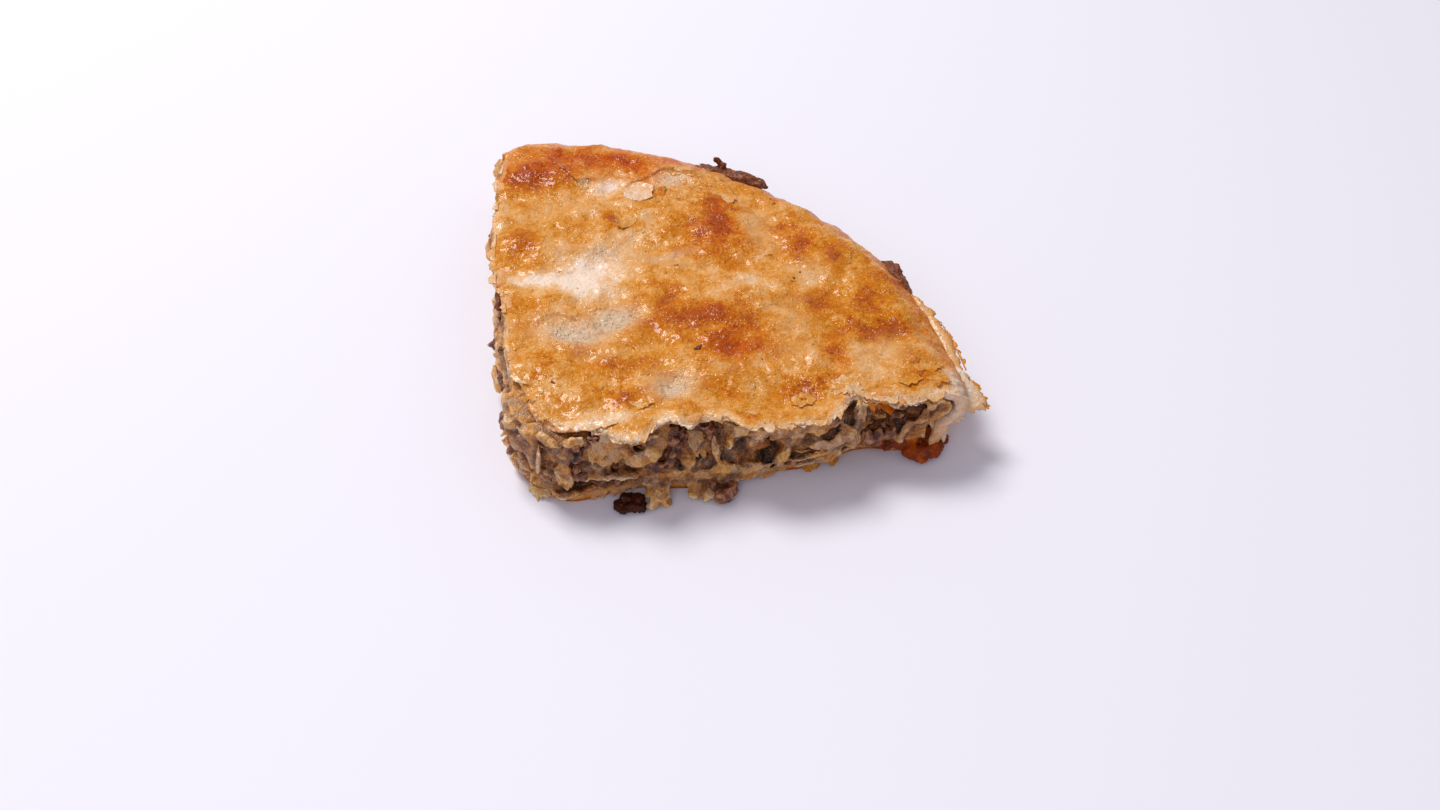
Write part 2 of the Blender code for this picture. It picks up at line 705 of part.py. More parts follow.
def edge_flakes(draw, count, from_side):
    """Small flakes that roughen the torn edge of the top over one cut."""
    pieces = []
    front = from_side == "front"
    low, high = FRONT_FLAKE_SPAN if front else LEFT_FLAKE_SPAN
    for k in range(count):
        along = low + (high - low) * (k + draw.uniform(*SPACING)) / count
        if front:
            x, y = along, FRONT_CUT - reading(FRONT_TEAR, along) + FRONT_FLAKE_INSET
        else:
            x, y = LEFT_CUT - reading(LEFT_TEAR, along) + LEFT_FLAKE_INSET, along
        z = top_height(x, y) - CRUST * draw.uniform(*FLAKE_DEPTH)
        half = [h * draw.uniform(*FLAKE_SHARE) for h in FLAKE_HALF]
        turn = draw.uniform(-FLAKE_TURN, FLAKE_TURN) + (0.0 if front else 90.0)
        tilt = draw.uniform(-FLAKE_TILT, FLAKE_TILT)
        name = f"{from_side}_flake_{k}"
        pieces.append(lump(name, settle(x, y, z), half, turn, tilt))
    return pieces


def fuse(body, pieces):
    """Joins the pieces to the body with one Boolean union, applies it and removes the pieces."""
    group = bpy.data.collections.new(body.name + "_pieces")
    bpy.context.scene.collection.children.link(group)
    for piece in pieces:
        group.objects.link(piece)
    union = body.modifiers.new("union", "BOOLEAN")
    union.operation = "UNION"
    union.operand_type = "COLLECTION"
    union.collection = group
    union.solver = "EXACT"
    bpy.context.view_layer.update()
    graph = bpy.context.evaluated_depsgraph_get()
    joined = bpy.data.meshes.new_from_object(body.evaluated_get(graph))
    body.modifiers.clear()
    body.data = joined
    for piece in pieces:
        bpy.data.objects.remove(piece)
    bpy.data.collections.remove(group)


def finish(node):
    """Gives a node its material and smooth shading."""
    node.data.materials.clear()
    node.data.materials.append(skin(node.name))
    node.data.shade_smooth()
    node.data.set_sharp_from_angle(angle=math.radians(SHARP_ANGLE))


def main():
    clear_scene()
    pastry = make_pastry()
    draw = random.Random(EDGE_SEED)
    trim = edge_flakes(draw, FRONT_FLAKES, "front") + edge_flakes(draw, LEFT_FLAKES, "left")
    trim += [lump(f"film_{k}", *sizes, high=BASE) for k, sizes in enumerate(DRIP_FILM)]
    trim += [lump(f"drip_{k}", *sizes) for k, sizes in enumerate(DRIP_LUMPS)]
    trim += [lump(f"burn_{k}", *sizes) for k, sizes in enumerate(RIM_BURNS)]
    trim += [leaf(f"leaf_{k}", *shape) for k, shape in enumerate(LEAVES)]
    fuse(pastry, trim)

    filling = make_filling_core()
    draw = random.Random(CRAG_SEED)
    rough = crags(draw, FRONT_CRAGS, "front") + crags(draw, LEFT_CRAGS, "left")
    rough += [lump(f"foot_{k}", *sizes) for k, sizes in enumerate(FOOT_CRAGS)]
    rough += [lump(f"tip_{k}", *sizes, high=TIP_CRAG_TOP) for k, sizes in enumerate(TIP_CRAGS)]
    fuse(filling, rough)
    for node in (pastry, filling):
        finish(node)


main()
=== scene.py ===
"""The looks of a quarter of a round meat borek.

Plan sizes are in millimetres in the same frame as the solids: x runs along the front cut, y along
the left cut, z up from the underside. new_piece() turns them to metres about its middle.
"""

import json
import math
import random
from functools import partial

import bmesh
import bpy
import numpy as np
from mathutils import Matrix, Vector, noise
from mathutils.bvhtree import BVHTree

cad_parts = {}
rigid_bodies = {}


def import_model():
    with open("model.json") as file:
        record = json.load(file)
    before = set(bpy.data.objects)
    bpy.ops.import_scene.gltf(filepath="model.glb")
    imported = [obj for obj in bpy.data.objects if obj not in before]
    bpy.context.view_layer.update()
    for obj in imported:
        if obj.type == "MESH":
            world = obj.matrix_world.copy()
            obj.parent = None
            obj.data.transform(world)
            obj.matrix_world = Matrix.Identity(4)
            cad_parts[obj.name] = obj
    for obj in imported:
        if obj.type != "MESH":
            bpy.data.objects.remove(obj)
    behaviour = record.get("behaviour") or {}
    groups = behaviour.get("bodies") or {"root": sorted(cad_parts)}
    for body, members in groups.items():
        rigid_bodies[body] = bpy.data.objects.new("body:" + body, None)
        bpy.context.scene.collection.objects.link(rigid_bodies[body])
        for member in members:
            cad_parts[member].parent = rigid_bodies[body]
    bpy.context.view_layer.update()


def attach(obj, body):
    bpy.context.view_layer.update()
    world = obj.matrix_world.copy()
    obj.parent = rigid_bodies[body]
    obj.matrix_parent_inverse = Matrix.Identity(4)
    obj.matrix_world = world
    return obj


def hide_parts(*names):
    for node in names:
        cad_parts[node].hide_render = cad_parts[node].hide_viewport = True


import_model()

MM = 0.001
BODY = "root"

# The tin and the two cuts, as in the solids.
TIN_RADIUS = 170.0
TIN_MIDDLE = (-10.0, 17.0)
FRONT_CUT = -2.0
LEFT_CUT = -7.0
TIP = (LEFT_CUT, FRONT_CUT)
CUT_AT = {"front": FRONT_CUT, "left": LEFT_CUT}
# The plan axis that runs across each cut, and the turn of a shape that lies along it.
ACROSS = {"front": 1, "left": 0}
SPIN = {"front": 0.0, "left": 90.0}
MIDDLE = (75.9, 86.0)
TOP_HEIGHT = 33.5
SHOULDER_WIDTH = 17.0
SHOULDER_DROP = 15.0
FLAT_RADIUS = TIN_RADIUS - SHOULDER_WIDTH
TUCK = 4.0
BASE = 3.2
# How far the tip is rounded, the back corner is drawn in and the foot of the right end leans in, and
# over what width each fades.
TIP_ROUND, TIP_SPREAD = 7.0, 8.0
BACK_DRAW, BACK_SPREAD = 7.0, 45.0
FOOT_LEAN, FOOT_SPREAD = 10.0, 27.0
# Thickness of the wrap: on top, at its torn edge and at the tin side.
CRUST, EDGE_CRUST = 2.4, 0.5
WALL = 3.4

# Points closer than this are merged, no point of a loose piece lies lower than this, and a leaf with
# no tears is painted as this far from one.
MERGE = 0.02
CLEAR = 0.1
NO_TEAR = 3.0

# Broad hills and dips of the baked top: x, y, half length, half width, turn in degrees, rise.
TOP_FORMS = (
    (22, 150, 24, 10, -12, 1.6), (48, 166, 40, 7, -20, 1.4), (45, 138, 17, 9, 20, -1.5),
    (78, 112, 17, 22, 15, 1.7), (35, 90, 38, 11, 14, -1.9), (5, 105, 13, 12, 0, 1),
    (8, 70, 16, 6, 10, 1.1), (18, 52, 13, 7, -24, -1.7), (34, 57, 9, 7, 10, -2),
    (76, 50, 26, 15, -10, 1.4), (88, 80, 14, 6, 0, -0.8), (126, 72, 12, 16, 30, 1.5),
    (100, 108, 6, 14, 0, -1.3), (136, 30, 14, 12, 20, -1.6), (52, 18, 9, 6, 0, -1.5),
    (90, 6, 25, 12, 0, -3), (50, 0, 18, 8, 0, 1.2), (12, 6, 10, 8, 0, -2.2),
)

# How far the torn edge of the top stands out past each cut: place along the cut, reach.
FRONT_TEAR = (
    (-7, -9), (1, -9), (8, -6), (15, -4.5), (23, -2), (29, 4.5), (37, 5.5), (42, 0.5), (47, -2),
    (54, 3), (59, -1), (67, -1), (74, 6.5), (85, 7), (96, 6), (101, 7.5), (108, 3.5), (115, -6.5),
    (120, -2), (128, 1), (136, 2.2), (148, 0), (158, -6),
)
LEFT_TEAR = (
    (-2, -8), (24, -7), (30, -2), (45, 0), (60, -0.5), (77, 0), (84, 2.5), (105, 1.5), (118, 0),
    (142, -1.5), (160, -0.5), (187, 0),
)
TEAR_AT = {"front": FRONT_TEAR, "left": LEFT_TEAR}
TEAR_FADE = 22.0
FRINGE_FADE = 6.0

# Browning of the top, from pale (-) to brown (+): x, y, half length, half width, turn, amount.
BROWNING = (
    (10, 149, 15, 8.5, -8, 0.54), (42, 158, 28, 10, -20, 0.3), (26, 160, 5, 8, 0, 0.12),
    (42, 141, 9, 7, 0, -0.52), (70, 141, 8, 6, 0, -0.25), (77, 134, 7, 5, 0, 0.14),
    (-4, 126, 5, 13, 0, -0.22), (22, 127, 13, 9, 0, -0.06), (1, 103, 10, 10, 0, 0.23),
    (40.5, 118, 2.6, 5.5, 0, 0.42), (28, 86, 22, 12, 35, -0.5), (4, 83.5, 13, 4, 0, -0.48),
    (33, 72, 12, 5, -20, -0.22), (84, 108, 10, 21, 0, 0.4), (66, 100, 9, 10, 0, 0.14),
    (96, 106, 5, 12, 0, -0.16), (108, 101, 4, 4, 0, 0.26), (122, 98, 9, 13, -45, 0.14),
    (114, 85, 7, 7, 0, 0.34), (141, 67, 8, 9, 0, 0.22), (125, 75, 6, 9, 0, 0.3),
    (114, 69, 7, 7, 0, -0.24), (112, 54, 11, 7, 0, 0.34), (131, 50, 9, 8, 0, 0.28),
    (131, 36, 15, 7, 0, 0.42), (124, 22, 8, 9, 0, -0.26), (113, 25, 4.5, 9, 0, 0.26),
    (141, 12, 8, 8, 0, 0.26), (74, 52, 17, 11, 0, 0.38), (80, 66, 14, 7, 15, -0.3),
    (54, 57, 9, 15, 0, 0.24), (78, 33, 14, 8, 0, 0.3), (98, 40, 8, 17, 0, -0.16),
    (4, 70, 11, 6, 0, 0.24), (8, 37, 10, 7, 0, 0.16), (27, 32, 12, 5, -15, 0.2),
    (31, 15, 9, 4.5, 0, 0.3), (27, 6, 12, 4.5, 0, -0.32), (69, 14, 9, 6, 0, 0.26),
    (99, 9, 9, 6, 0, 0.34), (75, -3, 5, 4, 0, 0.28), (50, 30, 10, 4, 0, 0.1),
)
# The browning of plain leaf and how strongly the patches change it, and the pale torn edge.
GOLDEN, BROWN_SHARE = 0.55, 1.1
EDGE_PALE, EDGE_PALE_WIDTH = 0.42, 5.0

# Where the brown is redder than golden: x, y, half length, half width, turn, amount.
RUDDY = (
    (30, 157, 42, 14, -15, 0.8), (84, 105, 14, 24, 0, 0.4), (112, 92, 9, 10, 0, 0.5),
    (113, 25, 6, 10, 0, 0.45), (80, 33, 15, 9, 0, 0.5), (74, 54, 18, 12, 0, 0.2),
    (60, 150, 14, 8, -30, 0.5),
)

# Where one leaf has puffed clear of the next and looks grey and glassy.
GLASSY = (
    (18, 51, 10, 5.5, -24, 1.3), (34, 56.5, 8, 6, 12, 1.4), (51, 17, 7, 5, 10, 1),
    (70, 141, 7, 5, 10, 0.9), (34, 98, 5, 2.5, 0, 0.7), (60, 90, 9, 2.5, 10, 0.5),
    (153, 34, 3, 18, 6, 0.5),
)

# Where the leaf is thin and lets the wet filling show through, so it looks khaki.
THIN = (
    (15.6, 128, 9, 5, 0, 0.5), (20, 99, 8, 3, 20, 0.6), (36, 97.5, 9, 4, 0, 0.75),
    (47, 91.5, 9, 3, -10, 0.7), (57.6, 86, 9, 2.5, -8, 0.8), (57, 115, 5, 3, 20, 0.8),
    (7, 62, 7, 2.5, 0, 0.5), (2, 52, 6, 3, 0, 0.45), (26, 37, 9, 2.5, -10, 0.6), (46, 22, 3, 4, 0, 0.9),
    (99, 103, 5, 8, 10, 0.9), (99.5, 91, 4, 5, 0, 0.6), (114, 71, 7, 7, 0, 0.85),
    (101, 54, 8, 5, 0, 0.6), (101, 43, 7, 5, 0, 0.5), (97, 28, 9, 4, 0, 0.6), (132, 24, 9, 7, 0, 1),
    (120, 16, 6, 6, 0, 0.5), (70, 24, 8, 3, 0, 0.4), (155, 30, 5, 20, 4, 0.9), (64, 137, 6, 3, 0, 0.6),
)

# Where the top leaf is wrinkled and glints: x, y, half length, half width, turn, amount.
WRINKLED = (
    (87, 59, 7, 6.5, 30, 0.9), (16, 50, 9, 5.5, -24, 0.7), (33, 55, 8, 6.5, 12, 0.7),
    (51, 17, 6, 5, 10, 0.6), (78, 105, 9, 10, 0, 0.5), (72, 132, 8, 6, 20, 0.5),
    (110, 10, 8, 5, 0, 0.6), (62, 86, 7, 4, 10, 0.3), (95, 4, 7, 4, 0, 0.6), (144, 12, 7, 9, 0, 0.5),
    (88, 71, 8, 4, 15, 0.4),
)

# Tears of the top leaf: the line, the height of the lip on its left, the width of the lip's rise,
# how dark the gap is painted, as the shade in the crack.
TEARS = (
    (((14.4, 176), (18.1, 166.5), (20.6, 158.6), (22.5, 153.2), (26, 147.7), (29.2, 142.7),
     (34.5, 143.6)), 0.8, 5, 0.9),
    (((27, 148), (27.9, 151), (29.3, 157.7), (28.6, 163.4), (24.5, 166.4)), 0.35, 3, 0.35),
    (((34.5, 143.6), (38.5, 145.7), (42.7, 149.6), (46.2, 151.8), (48.8, 146.8), (51.7, 140.5)), 0.25,
     3, 0.1),
    (((51.7, 140.5), (58.9, 143), (63.1, 145.5), (67.1, 147.6), (71.7, 145.5), (75.5, 142.6),
     (84.8, 137.6)), 0.7, 4, 0.7),
    (((34.7, 133.6), (34.8, 127.7), (34.2, 123.5), (33.4, 119.4), (35.3, 117), (34, 110.9),
     (31.6, 104.7), (30.2, 99.3), (27.5, 96)), 0.22, 2, 0.7),
    (((35.6, 133.9), (39.3, 134.4), (44.2, 137.6)), 0.15, 1.5, 0.6),
    (((30.2, 99.3), (26.8, 95.1), (23.9, 90.8), (17.1, 86.5), (6, 82.5)), 0.35, 2.6, 0),
    (((62.2, 118.2), (58.8, 112.8), (53.6, 108.6), (51.4, 107.3)), 0.2, 1.6, 0.3),
    (((8, 60.5), (14, 61.5), (19, 59), (25, 62.6), (33, 63.4), (41, 60), (45, 54.5)), 0.5, 2.4, 0.15),
    (((19, 59), (25, 55.5), (30, 50), (34, 46.5)), 0.8, 1.8, 0.3),
    (((44, 24), (51, 24), (57.5, 20.5), (59, 14), (54, 10.5)), 0.4, 2.2, 0.1),
    (((78.6, 20), (82, 12.5), (85.5, 5), (88.5, -6)), 0.35, 3, 0.25),
    (((133.2, 95), (135.3, 84.2), (137.4, 76.6), (139.8, 69.9), (143, 62)), 0.4, 2.5, 0.5),
    (((147, 4), (148.5, 18), (146, 34), (141, 50)), 0.3, 2, 0.3),
    (((60, 119), (60.6, 127), (61.2, 134)), 0.2, 1.5, 0.4),
    (((104, 97), (110, 105), (103, 112)), 0.25, 2.5, 0.1),
    (((20, 29), (34, 23), (46, 24)), 0.3, 2.5, 0),
)


def linear(code):
    """A linear colour with alpha from an sRGB hex code."""
    parts = [int(code[k : k + 2], 16) / 255 for k in (0, 2, 4)]
    return (*[c / 12.92 if c <= 0.04045 else ((c + 0.055) / 1.055) ** 2.4 for c in parts], 1.0)


def feed(tree, node, inputs):
    """Sets a node's inputs. Each takes a value, or the socket or the node that feeds it."""
    for name, value in inputs.items():
        if isinstance(value, bpy.types.Node):
            value = next(socket for socket in value.outputs if socket.enabled)
        if isinstance(value, bpy.types.NodeSocket):
            tree.links.new(value, node.inputs[name])
        else:
            node.inputs[name].default_value = value


def add(tree, kind, inputs=None, **settings):
    """One node with its settings and what feeds it."""
    made = tree.nodes.new(kind)
    for name, value in settings.items():
        setattr(made, name, value)
    feed(tree, made, inputs or {})
    return made


def reading(table, at):
    """Values of a table of (place, value) at an array of places, on straight lines."""
    return np.interp(at, [row[0] for row in table], [row[1] for row in table])


def rise(value, low, high):
    """0 below low, 1 above high, a smooth step between."""
    share = np.clip((value - low) / (high - low), 0.0, 1.0)
    return share * share * (3 - 2 * share)


def patches(x, y, table):
    """The sum of soft oval patches at each plan point."""
    total = np.zeros(np.shape(x))
    for form_x, form_y, length, width, turn, amount in table:
        c, s = math.cos(math.radians(turn)), math.sin(math.radians(turn))
        along = ((x - form_x) * c + (y - form_y) * s) / length
        across = ((y - form_y) * c - (x - form_x) * s) / width
        total += amount * np.exp(-(along**2 + across**2))
    return total


def grain(points, size, seed=0.0):
    """Smooth noise from -1 to 1 with features of one size in millimetres."""
    spots = (np.asarray(points) / size + (seed * 7.3, seed * 3.1, seed * 5.7)).tolist()
    return np.array([noise.noise(spot) for spot in spots])


def with_height(x, y, z=0.0):
    """Points in rows of three from plan places and a height."""
    return np.stack([np.ravel(x), np.ravel(y), np.broadcast_to(z, np.shape(np.ravel(x)))], axis=1)


def top_height(x, y):
    """Height of the baked top, without its fine relief."""
    ripple = grain(with_height(x, y), 21.0) + 0.5 * grain(with_height(x, y, 9.0), 9.0)
    return TOP_HEIGHT + patches(x, y, TOP_FORMS) + 0.9 * ripple.reshape(np.shape(x))


def reach(turn, radius, tip=TIP):
    """Distance from the tip of the quarter to a circle about the tin's middle, along a turn."""
    dx, dy = tip[0] - TIN_MIDDLE[0], tip[1] - TIN_MIDDLE[1]
    b = np.cos(turn) * dx + np.sin(turn) * dy
    return -b + np.sqrt(b * b - (dx * dx + dy * dy - radius * radius))


def quarter(s, t, radius, tip=TIP):
    """A unit square bent over the quarter disc inside a circle about the tin's middle."""
    u, v = s * np.sqrt(1 - t * t / 2), t * np.sqrt(1 - s * s / 2)
    turn = np.arctan2(v, u)
    distance = np.hypot(u, v) * reach(turn, radius, tip)
    return tip[0] + distance * np.cos(turn), tip[1] + distance * np.sin(turn)


def settle(points):
    """Points of the true quarter moved to where the baked and cut one has them."""
    x, y, z = np.asarray(points, float).T
    from_tip = np.hypot(x - LEFT_CUT, y - FRONT_CUT)
    tip = TIP_ROUND * math.sqrt(0.5) * np.exp(-((from_tip / TIP_SPREAD) ** 2) / 2)
    near = np.maximum(0.0, 1 - (x - LEFT_CUT) / BACK_SPREAD) ** 2
    lean = np.exp(-(((y - FRONT_CUT) / FOOT_SPREAD) ** 2)) * (1 - rise(z, 12.0, 27.0))
    out_x = x + tip + BACK_DRAW * near * rise(y, 125.0, 178.0) - FOOT_LEAN * lean * rise(x, 115.0, 155.0)
    out_y = y + tip - BACK_DRAW * near * near * rise(y, 150.0, 187.0)
    return np.stack([out_x, out_y, z], axis=1)


def unsettled(places):
    """Places of the true quarter that settle at the places given."""
    places = np.asarray(places, float)
    start = places.copy()
    for _ in range(6):
        start -= settle(start) - places
    return start


def torn(x, y, share=1.0, fringe=0.0, seed=0.0):
    """Plan points moved out with the torn edges, with a finely ragged fringe at the very edge."""
    from_front, from_left = y - FRONT_CUT, x - LEFT_CUT
    fade_front = np.maximum(0.0, 1 - from_front / TEAR_FADE) ** 2
    fade_left = np.maximum(0.0, 1 - from_left / TEAR_FADE) ** 2
    front = share * reading(FRONT_TEAR, x) * fade_front
    left = share * reading(LEFT_TEAR, y) * fade_left
    if fringe:
        near_front = np.maximum(0.0, 1 - from_front / FRINGE_FADE) ** 2
        near_left = np.maximum(0.0, 1 - from_left / FRINGE_FADE) ** 2
        front += fringe * near_front * ragged(x, seed)
        left += 0.6 * fringe * near_left * ragged(y, seed + 3.0)
    return x - left, y - front


def ragged(along, seed):
    """The uneven reach of a torn edge, in coarse tongues and fine teeth."""
    line = with_height(along, np.full(np.shape(along), seed * 11.0))
    tongues = grain(line, 7.0, seed) + 0.6 * grain(line, 2.9, seed + 1.0)
    teeth = 1.3 * np.abs(grain(line, 1.6, seed + 2.0)) + 0.7 * grain(line, 0.9, seed + 4.0)
    return (0.9 * tongues + teeth - 0.4).reshape(np.shape(along))


def edge_droop(x, y):
    """How far the torn edges of the top curl down, more in some places than in others."""
    front = np.maximum(y + reading(FRONT_TEAR, x) - FRONT_CUT, 0.0)
    left = np.maximum(x + reading(LEFT_TEAR, y) - LEFT_CUT, 0.0)
    curl = np.clip(1.1 + 3.2 * grain(with_height(x, y, 3.0), 9.0, 6.0).reshape(np.shape(x)), 0.1, 2.6)
    return curl * (np.exp(-((front / 2.6) ** 2)) + 0.6 * np.exp(-((left / 2.2) ** 2)))


def crust_height(x, y):
    """Height of the top with its edges curled down."""
    return top_height(x, y) - edge_droop(x, y)


class Surface:
    """A mesh gathered from grids that share their borders, in plan millimetres."""

    def __init__(self):
        self.points = []
        self.faces = []
        self.count = 0

    def patch(self, grid):
        """Adds a grid of points (rows, columns, 3) with its faces and gives the points' numbers."""
        rows, columns = grid.shape[:2]
        numbers = self.count + np.arange(rows * columns).reshape(rows, columns)
        self.points.append(grid.reshape(-1, 3))
        self.count += rows * columns
        corners = (numbers[:-1, :-1], numbers[:-1, 1:], numbers[1:, 1:], numbers[1:, :-1])
        self.faces += np.stack([c.ravel() for c in corners], axis=1).tolist()
        return numbers

    def sew(self, first, second):
        """Triangles between two lines of points, whatever the number of points on each."""
        i = j = 0
        last_i, last_j = len(first) - 1, len(second) - 1
        while i < last_i or j < last_j:
            if j == last_j or (i < last_i and (i + 1) * last_j <= (j + 1) * last_i):
                self.faces.append([first[i], first[i + 1], second[j]])
                i += 1
            else:
                self.faces.append([first[i], second[j + 1], second[j]])
                j += 1

    def slab(self, front, back):
        """A closed slab between two grids of the same size."""
        near, far = self.patch(front), self.patch(back)
        for cut in (np.s_[0], np.s_[-1], np.s_[:, 0], np.s_[:, -1]):
            self.sew(near[cut], far[cut])

    def shape(self, points, faces):
        """Adds a closed shape that is already made."""
        self.points.append(np.asarray(points))
        self.faces += [[n + self.count for n in face] for face in faces]
        self.count += len(points)

    def raw(self, name):
        """The piece as it was gathered."""
        return new_piece(name, settle(np.concatenate(self.points)), self.faces)

    def build(self, name, material):
        """The finished piece, with its doubles merged and its faces turned out."""
        piece = self.raw(name)
        close(piece)
        return dress(piece, material)


def shown(name, data):
    """A new object in the scene."""
    made = bpy.data.objects.new(name, data)
    bpy.context.scene.collection.objects.link(made)
    return made


def new_piece(name, points, faces):
    """A mesh object from plan millimetres."""
    mesh = bpy.data.meshes.new(name)
    placed = (np.asarray(points, float) - (*MIDDLE, 0.0)) * MM
    mesh.from_pydata(placed.tolist(), [], faces)
    return shown(name, mesh)


def close(piece):
    """Merges doubled points and turns the faces out."""
    work = bmesh.new()
    work.from_mesh(piece.data)
    bmesh.ops.remove_doubles(work, verts=work.verts, dist=MERGE * MM)
    bmesh.ops.recalc_face_normals(work, faces=work.faces)
    work.to_mesh(piece.data)
    work.free()


def dress(piece, material):
    """Gives a piece its material and smooth shading."""
    piece.data.materials.clear()
    piece.data.materials.append(material)
    piece.data.shade_smooth()
    return piece


def plan_of(piece):
    """The points of a piece in plan millimetres."""
    flat = np.zeros(len(piece.data.vertices) * 3)
    piece.data.vertices.foreach_get("co", flat)
    return flat.reshape(-1, 3) / MM + (*MIDDLE, 0.0)


def move_out(piece, distance):
    """Moves each point of a piece along its normal by a distance in millimetres."""
    count = len(piece.data.vertices)
    flat, normals = np.zeros(count * 3), np.zeros(count * 3)
    piece.data.vertices.foreach_get("co", flat)
    piece.data.vertices.foreach_get("normal", normals)
    flat += (normals.reshape(-1, 3) * (np.asarray(distance) * MM)[:, None]).ravel()
    piece.data.vertices.foreach_set("co", flat)
    piece.data.update()


def paint(piece, low=0.0, high=1.0, **layers):
    """Stores numbers for the points of a piece, each under the name that its material reads."""
    for name, values in layers.items():
        layer = piece.data.attributes.new(name, "FLOAT", "POINT")
        spread = np.broadcast_to(np.clip(values, low, high), len(piece.data.vertices))
        layer.data.foreach_set("value", spread.astype(np.float32))


# ---------------------------------------------------------------- the crust

# How finely the parts of the wrap are divided.
TOP_STEPS = 256
SHOULDER_ROWS = 15
WALL_ROWS = 12
FLOOR_STEPS = 48
INNER_STEPS = 48
EDGE_ROWS = 4


def rim(grid):
    """A grid's border along the tin, from the front cut round to the left cut."""
    return np.concatenate([grid[:, -1], grid[-1, -2::-1]])


def rim_turns(steps):
    """The turn from the tip of each point of that border."""
    share = np.linspace(0, 1, steps + 1)
    first = np.arctan2(share * math.sqrt(0.5), np.sqrt(1 - share * share / 2))
    return np.concatenate([first, math.pi / 2 - first[-2::-1]])


def ring(turns, radius, z, tip=TIP):
    """A line of points at a radius and a height."""
    d = reach(turns, radius, tip)
    x, y = tip[0] + d * np.cos(turns), tip[1] + d * np.sin(turns)
    return np.stack([x, y, np.broadcast_to(z, x.shape)], axis=1)


def height_grid(steps, radius, height, shape=lambda x, y: (x, y), tip=TIP):
    """A grid bent over the quarter at the height that a function gives."""
    share = np.linspace(0, 1, steps + 1)
    x, y = shape(*quarter(*np.meshgrid(share, share), radius, tip))
    return np.stack([x, y, height(x, y)], axis=2)


def base_tear(x):
    """How far the base stands out past the front cut: it draws back towards the right."""
    return 1.5 * np.sin(x / 7.0) - 5.5 * np.clip((x - 80.0) / 35.0, 0.0, 1.0)


def tin_side(steps, edge_height, inset, foot):
    """Rows from the shoulder down to the foot. inset draws the whole side in."""
    turns = rim_turns(steps)
    rows = []
    for k in range(1, SHOULDER_ROWS + 1):
        bend = math.pi / 2 * k / SHOULDER_ROWS
        radius = FLAT_RADIUS + (SHOULDER_WIDTH - inset) * math.sin(bend)
        rows.append(ring(turns, radius, edge_height - SHOULDER_DROP * (1 - math.cos(bend))))
    shoulder_foot = edge_height - SHOULDER_DROP
    for k in range(1, WALL_ROWS + 1):
        share = k / WALL_ROWS
        z = shoulder_foot + (TUCK - shoulder_foot) * share
        rows.append(ring(turns, TIN_RADIUS - inset - 1.0 * share, z))
    rows.append(ring(turns, TIN_RADIUS - inset - 1.6, foot + (TUCK - foot) * 0.45))
    rows.append(ring(turns, TIN_RADIUS - inset - TUCK, foot))
    return rows


def make_crust(material):
    """The browned wrap: top, round side and underside, a few leaves thick at the cuts."""
    surface = Surface()

    def ceiling_height(x, y):
        inside = np.minimum(x - LEFT_CUT, y - FRONT_CUT)
        return crust_height(x, y) - EDGE_CRUST - (CRUST - EDGE_CRUST) * rise(inside, 2.0, 11.0)

    top_grid = height_grid(TOP_STEPS, FLAT_RADIUS, crust_height, lambda x, y: torn(x, y, 1.0, 2.1, 1.0))
    inner_grid = height_grid(INNER_STEPS, FLAT_RADIUS, ceiling_height, lambda x, y: torn(x, y, 0.8))
    turns = rim_turns(TOP_STEPS)
    edge_height = top_height(*ring(turns, FLAT_RADIUS, 0.0)[:, :2].T)
    top = surface.patch(top_grid)
    side = surface.patch(np.stack([rim(top_grid), *tin_side(TOP_STEPS, edge_height, 0.0, 0.0)]))
    inner_turns = rim_turns(INNER_STEPS)
    inner_edge = top_height(*ring(inner_turns, FLAT_RADIUS, 0.0)[:, :2].T) - CRUST
    inner = surface.patch(inner_grid)
    inner_side = surface.patch(np.stack([rim(inner_grid), *tin_side(INNER_STEPS, inner_edge, WALL, BASE)]))

    def floor_grid(steps, radius, z):
        share = np.linspace(0, 1, steps + 1)
        x, y = quarter(*np.meshgrid(share, share), radius)
        fade = np.maximum(0.0, 1 - (y - FRONT_CUT) / 12.0)
        return np.stack([x, y - base_tear(x) * fade, np.full(x.shape, z)], axis=2)

    floor = surface.patch(floor_grid(FLOOR_STEPS, TIN_RADIUS - TUCK, 0.0))
    inner_floor = surface.patch(floor_grid(INNER_STEPS, TIN_RADIUS - WALL - TUCK, BASE))
    surface.sew(side[-1], rim(floor))
    surface.sew(inner_side[-1], rim(inner_floor))

    # The torn face between the top and the underside of the crust, over each cut.
    for cut in (np.s_[0], np.s_[:, 0]):
        outer_line, inner_line = top_grid[cut], inner_grid[cut]
        steps = np.linspace(0, 1, len(outer_line))
        coarse = np.linspace(0, 1, len(inner_line))
        matched = np.stack([np.interp(steps, coarse, inner_line[:, k]) for k in range(3)], axis=1)
        shares = np.linspace(0, 0.9, EDGE_ROWS + 1)[:, None, None]
        band = outer_line * (1 - shares) + matched * shares
        rough = grain(band.reshape(-1, 3), 1.6, 5.0).reshape(band.shape[:2])
        band[1:, :, 0] += 0.6 * rough[1:]
        band[1:, :, 1] += 0.9 * rough[1:]
        numbers = surface.patch(band)
        surface.sew(numbers[-1], inner[cut])
    surface.sew(side[:, 0], inner_side[:, 0])
    surface.sew(side[:, -1], inner_side[:, -1])
    surface.sew(floor[0], inner_floor[0])
    surface.sew(floor[:, 0], inner_floor[:, 0])
    crust = surface.build("crust", material)
    roughen_crust(crust)
    return crust


